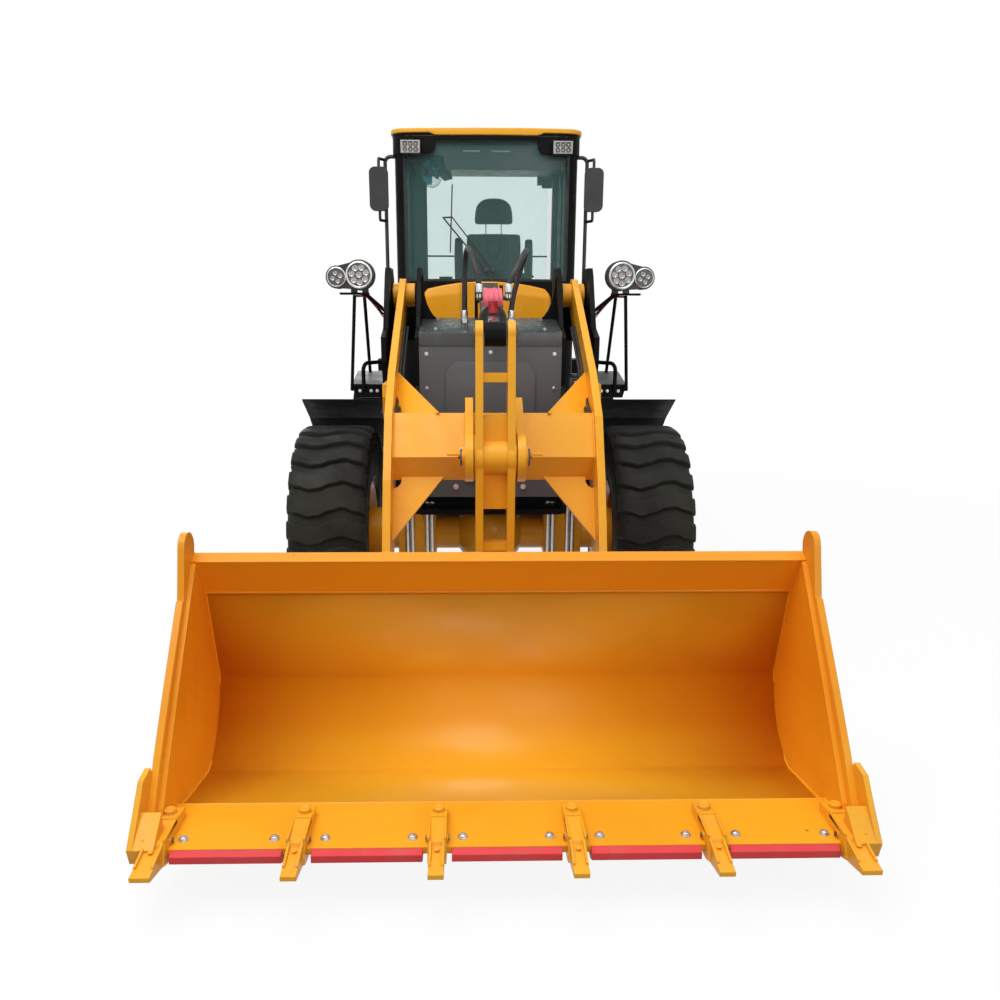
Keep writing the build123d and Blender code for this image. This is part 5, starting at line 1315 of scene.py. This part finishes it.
def make_cab_inside():
    """Roof liner with lamps, fan, consoles, levers, window bar and the steering wheel's grip."""
    bm = bmesh.new()
    sheet_from(bm,
               [at(-0.56, 1.30, 3.060), at(0.56, 1.30, 3.060), at(0.56, 2.48, 3.060),
                at(-0.56, 2.48, 3.060)], (0, 0, 0.03), 0.01)
    sheet_from(bm,
               [at(-0.55, 1.262, 3.095), at(0.55, 1.262, 3.095), at(0.55, 1.262, 2.935),
                at(-0.28, 1.262, 2.935), at(-0.30, 1.262, 3.02), at(-0.55, 1.262, 3.04)], (0, 0.012, 0), 0.004)
    piece("roof_liner", bm, "rear_frame", "plastic")
    bm = bmesh.new()
    for x0, x1 in ((-0.165, -0.045), (0.035, 0.165)):
        block(bm, at(x0, 1.2585, 3.050), at(x1, 1.2625, 3.059), 0.001)
    piece("roof_leds", bm, "rear_frame", "lamp_white")
    # fan beside the window
    bm = bmesh.new()
    spot = at(-0.392, 1.345, 2.930)
    front = Vector((0.62, -0.78, 0)).normalized()
    for r in (0.098, 0.084, 0.066, 0.046, 0.026):
        for depth in (0.0, 0.040):
            if r < 0.09 and depth > 0:
                continue
            ring = ring_of(spot + Vector((0, 0.02 - depth * 0.6 - (0.098 - r) * 0.22, 0)), front, r, 40)
            sweep(bm, ring + [ring[0]], 0.0016, 6, caps=False)
    for k in range(24):
        a = ring_of(spot + Vector((0, 0.02, 0)), front, 0.098, 24)[k]
        b = ring_of(spot + Vector((0, -0.002, 0)), front, 0.02, 24)[k]
        c = ring_of(spot + Vector((0, -0.006, 0)), front, 0.07, 24)[k]
        sweep(bm, smooth_line([a, c, b], 3), 0.0012, 5, caps=False)
    turned(bm, [(0.024, -0.004), (0.024, 0.006), (0.012, 0.010), (0, 0.010)], spot + Vector((0, 0.004, 0)),
           front, 20)
    turned(bm, [(0.0, -0.075), (0.038, -0.07), (0.045, -0.03), (0.03, -0.02)], spot, front, 24)
    sweep(bm, [spot + Vector((0, 0.05, 0.0)), spot + Vector((0, 0.06, 0.08)),
               spot + Vector((0, 0.03, 0.150))], 0.010, 10)
    piece("fan", bm, "rear_frame", "trim")
    bm = bmesh.new()
    for k in range(3):
        place = Matrix.Translation(spot + Vector((0, 0.022, 0))) @ frame_of(front, 2 * pi * k / 3)
        grid = []
        for i in range(7):
            row = []
            for j in range(4):
                r = 0.014 + 0.068 * i / 6
                a = (j / 3 - 0.5) * (1.25 - 0.2 * i / 6)
                row.append(bm.verts.new(place @ Vector((r * cos(a), r * sin(a), (j / 3 - 0.5) * 0.022))))
            grid.append(row)
        bridge(bm, grid, closed=False)
    piece("fan_blades", bm, "rear_frame", "blue")
    # a dark panel beside the fan, the dash and the side console with its levers
    bm = bmesh.new()
    pts = [(-0.545, 3.062), (-0.350, 3.062), (-0.300, 3.040), (-0.262, 2.985), (-0.238, 2.894),
           (-0.300, 2.880), (-0.40, 3.0), (-0.545, 3.02)]
    sheet_from(bm, [at(x, 1.400, z) for x, z in pts], (0, 0.008, 0), 0.002)
    piece("fan_panel", bm, "rear_frame", "trim")
    bm = bmesh.new()
    block(bm, at(-0.22, 1.30, 2.08), at(0.22, 1.46, 2.205), 0.03, 3)
    block(bm, at(-0.52, 1.265, 2.12), at(0.52, 1.33, 2.192), 0.02, 3)
    block(bm, at(0.40, 1.78, 1.66), at(0.55, 2.30, 1.945), 0.02, 3)
    piece("consoles", bm, "rear_frame", "plastic")
    bm = bmesh.new()
    sweep(bm, [at(-0.545, 2.538, 2.438), at(0.545, 2.538, 2.438)], 0.007, 10)
    block(bm, at(0.49, 2.52, 2.98), at(0.575, 2.545, 3.075), 0.006)
    piece("rear_window_bar", bm, "rear_frame", "trim")
    bm = bmesh.new()
    for x0, x1 in ((-0.590, -0.474), (0.580, 0.592)):
        block(bm, at(x0, 2.500, 2.10), at(x1, 2.530, 3.06), 0.004)
    for x0, x1 in ((-0.598, -0.560), (0.560, 0.598)):
        block(bm, at(x0, 1.40, 2.10), at(x1, 1.46, 3.03), 0.010, 3)
    piece("pillar_trims", bm, "rear_frame", "seal")
    bm = bmesh.new()
    sheet_from(bm,
               [at(-0.545, 2.545, 2.262), at(0.545, 2.545, 2.262), at(0.545, 2.545, 3.075),
                at(-0.545, 2.545, 3.075)], (0, 0.001, 0), 0.0)
    piece("rear_window_film", bm, "rear_frame", "film")
    bm = bmesh.new()
    for x in (0.45, 0.51):
        sweep(bm, smooth_line([at(x, 1.84, 1.94), at(x, 1.835, 2.03), at(x - 0.004, 1.82, 2.09)], 4), 0.006, 10)
        turned(bm, [(0.008, 0), (0.018, 0.012), (0.022, 0.035), (0.018, 0.052), (0, 0.058)],
               at(x - 0.004, 1.82, 2.085), (0, -0.1, 1), 20)
        turned(bm, [(0.026, 0), (0.022, 0.014), (0.012, 0.03), (0.007, 0.036)], at(x, 1.84, 1.944), UP, 20)
    piece("levers", bm, "rear_frame", "trim")
    # steering wheel with a finger grip over the frame's plain one
    centre = at(0, 1.640, 2.080)
    axis = Vector((0, 0.35, 1))
    bm = bmesh.new()
    ring = ring_of(centre, axis, 0.190, 96)
    sweep(bm, ring + [ring[0]], lambda t: 0.0168 + 0.0012 * cos(t * 96 * 2 * pi / 3), 12, caps=False)
    piece("wheel_grip", bm, "rear_frame", "trim")


def make_cab_outside():
    """Door grips, the mirrors' faces and the gutter under the roof."""
    for side, label in SIDES:
        grip = bmesh.new()
        block(grip, at(side * 0.6655 - 0.004, 1.372, 1.862), at(side * 0.6655 + 0.004, 1.416, 2.012), 0.003, 3)
        turned(grip, [(0.011, 0), (0.011, 0.006), (0.006, 0.008), (0, 0.006)],
               at(side * 0.669, 1.394, 1.900), (side, 0, 0), 20)
        piece("door_grip_" + label, grip, "cab_door_" + label, "trim")
    bm = bmesh.new()
    for side in (-1, 1):
        cx, cz = side * 0.745, 2.797
        outer = round_frame(cx - 0.059, cx + 0.059, cz - 0.136, cz + 0.136, 0.034, 10)
        bm.faces.new([bm.verts.new(at(x, 1.201, z)) for x, z in outer])
    piece("mirror_glass", bm, "rear_frame", "mirror")
    bm = bmesh.new()
    xs = [-0.56 + 1.12 * k / 32 for k in range(33)]
    sweep(bm, [at(x, front_y(x) - 0.011, 3.1375) for x in xs], 0.004, 8)
    piece("roof_drip", bm, "rear_frame", "seal")


def cab_ring(inset, count=9):
    """The cab's outline seen from above, inset all round, as (x, y) points."""
    w, y1 = CAB_HALF - inset, CAB_REAR_Y - inset
    r = max(0.09 - inset, 0.02)
    edge = w - r
    fronts = [-edge + 2 * edge * k / 48 for k in range(49)]
    pts = [(x, front_y(x, -inset)) for x in fronts]
    yf = pts[-1][1] + r
    corners = ((edge, yf, -90, 1, 0), (edge, y1 - r, 0, 0, 0), (-edge, y1 - r, 90, 0, 0),
               (-edge, yf, 180, 0, 1))
    for cx, cy, start, first, last in corners:     # the last two: points left out at each end
        for k in range(first, count + 1 - last):
            a = radians(start + 90 * k / count)
            pts.append((cx + r * cos(a), cy + r * sin(a)))
    return pts


def make_roof():
    """Pressed roof cap: a rim cut up over the corner housings and a low, smooth crown."""
    bm = bmesh.new()
    profile = ((0.03, 3.1405), (-0.020, 3.1405), (-0.0235, 3.144), (-0.024, 3.180), (-0.021, 3.186),
               (-0.012, 3.189), (0.03, 3.1905),
               (0.14, 3.194), (0.26, 3.197), (0.40, 3.199), (0.52, 3.2))
    rings = []
    for i, (inset, z) in enumerate(profile):
        ring = []
        for x, y in cab_ring(inset):
            lift = 0.0
            if i < 3 and y < 1.345 and abs(x) > 0.355:
                lift = 0.0165 * min(1.0, (abs(x) - 0.355) / 0.036)
            ring.append(bm.verts.new(at(x, y, min(z + lift, 3.162) if i < 3 else z)))
        rings.append(ring)
    bridge(bm, rings)
    bm.faces.new(rings[-1])
    piece("roof_cap", bm, "rear_frame", "yellow", angle=35, stands_for=("cab_roof",))


LINING = 0.010                # how far the lining stands off the shell at its deepest


def make_bucket_lining():
    """The smooth rolled face of the bucket's shell."""
    line = shell_profile()
    off = []
    for i, (y, z) in enumerate(line):
        a, b = line[max(i - 1, 0)], line[min(i + 1, len(line) - 1)]
        d = Vector((b[0] - a[0], b[1] - a[1])).normalized()
        lift = 0.0012 + LINING * sin(pi * i / (len(line) - 1))
        off.append((y - abs(d.y) * lift, z + abs(d.x) * lift))
    bm = bmesh.new()
    rows = [[bm.verts.new(at(x, y, z)) for y, z in off] for x in (-1.2045, 0.0, 1.2045)]
    bridge(bm, rows, closed=False)
    thicken(piece("bucket_lining", bm, "bucket", "bucket", angle=60), 0.0015, 0.0)


def make_stacks():
    """Short exhaust tip and air intake cap behind the cab."""
    bm = bmesh.new()
    y = 2.850
    turned(bm, [(0.085, 0.0), (0.085, 0.008), (0.062, 0.010), (0.060, 0.012), (0.060, 0.060), (0.053, 0.060),
                (0.053, 0.0)], at(-0.330, y, 2.222), UP, 40)
    turned(bm, [(0.085, 0.0), (0.085, 0.008), (0.071, 0.010), (0.070, 0.045), (0.118, 0.050), (0.128, 0.058),
                (0.128, 0.070), (0.110, 0.084), (0.04, 0.094), (0, 0.095)],
           at(0.330, y, 2.222), UP, 48)
    for k in range(6):
        for x in (-0.330, 0.330):
            a = pi * k / 3
            hex_bolt(bm, at(x + 0.074 * cos(a), y + 0.074 * sin(a), 2.230), UP, 0.006, 0.005, False)
    piece("stack_caps", bm, "rear_frame", "black", stands_for=("stacks",))


# ---- seat -----------------------------------------------------------------------------------
SEAT_X = 0.083                # the seat stands a little off the middle


def inflate(obj, seams, cap, pressure=4.0):
    """Blow a foam pad up for twenty frames, held along its seams, and keep the shape."""
    mesh = obj.data
    before = [v.co.copy() for v in mesh.vertices]
    group = obj.vertex_groups.new(name="seams")
    group.add([v.index for v in mesh.vertices if seams(v.co)], 1.0, "REPLACE")
    mod = obj.modifiers.new("foam", "CLOTH")
    cloth = mod.settings
    cloth.quality = 5
    cloth.mass = 0.3
    cloth.tension_stiffness = cloth.compression_stiffness = 12.0
    cloth.bending_stiffness = 0.6
    cloth.use_pressure = True
    cloth.uniform_pressure_force = pressure
    cloth.effector_weights.gravity = 0.0
    cloth.vertex_group_mass = "seams"
    mod.point_cache.frame_start, mod.point_cache.frame_end = 1, 20
    scene = bpy.context.scene
    for f in range(1, 21):
        scene.frame_set(f)
    made = bpy.data.meshes.new_from_object(obj.evaluated_get(bpy.context.evaluated_depsgraph_get()))
    obj.modifiers.remove(mod)
    scene.frame_set(1)
    for v, made_v, start in zip(mesh.vertices, made.vertices, before):
        move = made_v.co - start
        v.co = start + (move if move.length < cap else move.normalized() * cap)
    bpy.data.meshes.remove(made)


def pad(name, low, high, bevel, seams, cap=0.014, voxel=0.007):
    """One upholstered pad with rounded edges."""
    bm = bmesh.new()
    block(bm, at(*low), at(*high), bevel, 5)
    mesh = bpy.data.meshes.new(name + "_block")
    bm.to_mesh(mesh)
    bm.free()
    raw = bpy.data.objects.new(name + "_block", mesh)
    bpy.context.scene.collection.objects.link(raw)
    fine = raw.modifiers.new("fine", "REMESH")
    fine.mode = "VOXEL"
    fine.voxel_size = voxel
    bpy.context.view_layer.update()
    made = bpy.data.meshes.new_from_object(raw.evaluated_get(bpy.context.evaluated_depsgraph_get()))
    bpy.data.objects.remove(raw)
    bm = bmesh.new()
    bm.from_mesh(made)
    bpy.data.meshes.remove(made)
    obj = piece(name, bm, "rear_frame", "cloth", angle=180,
                stands_for=("seat",) if name == "seat_cushion" else ())
    inflate(obj, seams, cap)
    return obj


def make_seat():
    """Cushion, backrest and headrest with seams and piping, raised armrests, and the base."""
    x0 = SEAT_X
    cy = FRONT_Y

    def cushion_seams(p):
        x, y = p.x - x0, p.y - cy
        return abs(abs(x) - 0.13) < 0.006 or abs(y - 2.20) < 0.006 and abs(x) < 0.13 or p.z < 1.80

    def back_seams(p):
        x, y = p.x - x0, p.y - cy
        return abs(abs(x) - 0.135) < 0.006 or abs(p.z - 2.30) < 0.006 and abs(x) < 0.135 or y > 2.43

    def edge_seams(p):
        return abs(p.y - cy - 2.42) < 0.006

    pads = (
        ("seat_cushion", (x0 - 0.245, 1.960, 1.790), (x0 + 0.245, 2.370, 1.905), 0.040, cushion_seams),
        ("seat_back", (x0 - 0.222, 2.345, 1.925), (x0 + 0.222, 2.450, 2.603), 0.040, back_seams),
        ("headrest", (x0 - 0.157, 2.375, 2.684), (x0 + 0.157, 2.455, 2.884), 0.038, edge_seams),
        ("armrest_left", (x0 + 0.262, 2.330, 2.215), (x0 + 0.322, 2.400, 2.562), 0.020, edge_seams),
        ("armrest_right", (x0 - 0.322, 2.330, 2.215), (x0 - 0.262, 2.400, 2.572), 0.020, edge_seams),
    )
    for name, low, high, bevel, seams in pads:
        obj = pad(name, low, high, bevel, seams)
        if name == "headrest":
            for v in obj.data.vertices:
                t = max(0.0, (v.co.z - 2.684) / 0.20)
                x = v.co.x - x0
                v.co.z -= 0.055 * t * min(1.0, abs(x) / 0.157) ** 3
                v.co.x = x0 + x * (1.0 - 0.10 * t * t)
        smooth = obj.modifiers.new("smooth", "SUBSURF")
        smooth.levels = smooth.render_levels = 0 if name == "seat_back" else 1
    bm = bmesh.new()
    for dx in (-0.065, 0.065):
        sweep(bm, [at(x0 + dx, 2.412, 2.54), at(x0 + dx, 2.414, 2.70)], 0.0065, 12)
    piece("headrest_posts", bm, "rear_frame", "zinc")
    bm = bmesh.new()
    block(bm, at(x0 - 0.235, 1.97, 1.742), at(x0 + 0.235, 2.40, 1.795), 0.012)
    block(bm, at(x0 - 0.21, 2.444, 1.90), at(x0 + 0.21, 2.470, 2.52), 0.012)
    block(bm, at(x0 - 0.20, 1.98, 1.331), at(x0 + 0.20, 2.38, 1.45), 0.010)
    for k in range(7):
        z = 1.455 + k * 0.042
        turned(bm, [(0.0, 0.0), (0.175, 0.0), (0.205, 0.021), (0.175, 0.042), (0, 0.042)], at(x0, 2.18, z),
               UP, 40)
    for side in (-1, 1):
        turned(bm, [(0, -0.02), (0.030, -0.02), (0.030, 0.02), (0, 0.02)], at(x0 + side * 0.25, 2.37, 2.195),
               (1, 0, 0), 24)
        block(bm, at(x0 + side * 0.235 - 0.012, 2.34, 1.80), at(x0 + side * 0.235 + 0.012, 2.41, 2.215), 0.005)
    piece("seat_base", bm, "rear_frame", "plastic")
    bm = bmesh.new()
    ring = [at(x, 2.352, z) for x, z in round_frame(x0 - 0.214, x0 + 0.214, 1.933, 2.582, 0.05)]
    sweep(bm, ring + [ring[0]], 0.0035, 8, caps=False)
    piece("seat_piping", bm, "rear_frame", "trim")


def make_nose():
    """Pressed panel under the window: two raised facets beside a set-back middle."""
    low, top = 1.925, 2.188
    bm = bmesh.new()
    grid = []
    for i in range(121):
        s = -1 + i / 60
        column = []
        for j in range(25):
            v = j / 24
            half = 0.468 - 0.012 * v - 0.040 * max(0.0, (v - 0.62) / 0.38) ** 2
            half -= 0.018 * max(0.0, (0.12 - v) / 0.12) ** 2
            x = half * s
            z = low + v * (top - 0.052 * abs(s) ** 2 - low)
            side = min(1.0, max(0.0, (abs(x) - 0.165) / 0.030))
            slope = min(1.0, max(0.0, (1.0 - v) / 0.30))
            rim = min(1.0, max(0.0, (0.468 - abs(x)) / 0.025))
            out = 0.006 + 0.024 * side * (0.30 + 0.70 * slope) * rim
            column.append(bm.verts.new(at(x, front_y(x) - out, z)))
        grid.append(column)
    bridge(bm, grid, closed=False)
    thicken(piece("nose_panel", bm, "rear_frame", "nose", angle=14, stands_for=("cab_nose",)), 0.005)


def make_rear_details():
    """Ribbed step plates, filler cap, ballast bolts and the tow pin."""
    bm = bmesh.new()
    y0 = 1.620
    for side in (-1, 1):
        for k in range(17):
            y = y0 + 0.045 + k * 0.020
            x = sorted((side * 0.715, side * 0.885))
            block(bm, at(x[0], y - 0.004, 0.899), at(x[1], y + 0.004, 0.904), 0.0015)
        for z in (0.510, 0.810):
            for k in range(15):
                y = y0 + 0.065 + k * 0.020
                for xa, xb in ((0.884, 0.902), (0.943, 0.957)):
                    x = sorted((side * xa, side * xb))
                    block(bm, at(x[0], y - 0.004, z - 0.001), at(x[1], y + 0.004, z + 0.004), 0.001)
    piece("step_treads", bm, "rear_frame", "dark_steel")
    bm = bmesh.new()
    turned(bm, [(0.050, 0), (0.050, 0.010), (0.044, 0.012), (0.044, 0.030), (0.040, 0.036), (0, 0.038)],
           at(0.900, 1.760, 0.700), (1, 0, 0), 40)
    for k in range(12):
        a = pi * k / 6
        spot = at(0.912, 1.760 + 0.044 * cos(a), 0.700 + 0.044 * sin(a))
        turned(bm, [(0, 0), (0.006, 0), (0.006, 0.018), (0, 0.018)], spot, (1, 0, 0), 8)
    piece("filler_cap", bm, "rear_frame", "plastic")
    bm = bmesh.new()
    for x in (-0.78, -0.42, 0.42, 0.78):
        turned(bm, [(0.034, 0), (0.034, 0.005), (0, 0.005)], at(x, 4.180, 1.4995), UP, 30)
        hex_bolt(bm, at(x, 4.180, 1.5045), UP, 0.020, 0.014, False)
    piece("ballast_bolts", bm, "rear_frame", "dark_steel")
    bm = bmesh.new()
    turned(bm, [(0, 0.810), (0.0210, 0.810), (0.0210, 0.970), (0.0400, 0.970), (0.0400, 0.982), (0, 0.982)],
           at(0, 4.365, 0), UP, 28)
    sweep(bm, smooth_line([at(-0.035, 4.365, 0.981), at(-0.035, 4.365, 1.025), at(0.035, 4.365, 1.025),
                           at(0.035, 4.365, 0.981)], 6), 0.006, 10)
    piece("tow_pin", bm, "rear_frame", "pin_steel")



bpy.context.scene.view_settings.view_transform = "Standard"
make_camera()
make_world()
make_floor()
make_lights()
paint_nodes()
make_tyres()
make_wheel_details()
make_bucket_details()
make_boom_details()
make_linkage_details()
make_hoses()
make_tower_details()
make_side_details()
make_head_lamps()
make_work_lamps()
make_rear_lamps()
make_windows()
make_wiper()
make_cab_inside()
make_cab_outside()
make_roof()
make_bucket_lining()
make_stacks()
make_seat()
make_nose()
make_rear_details()
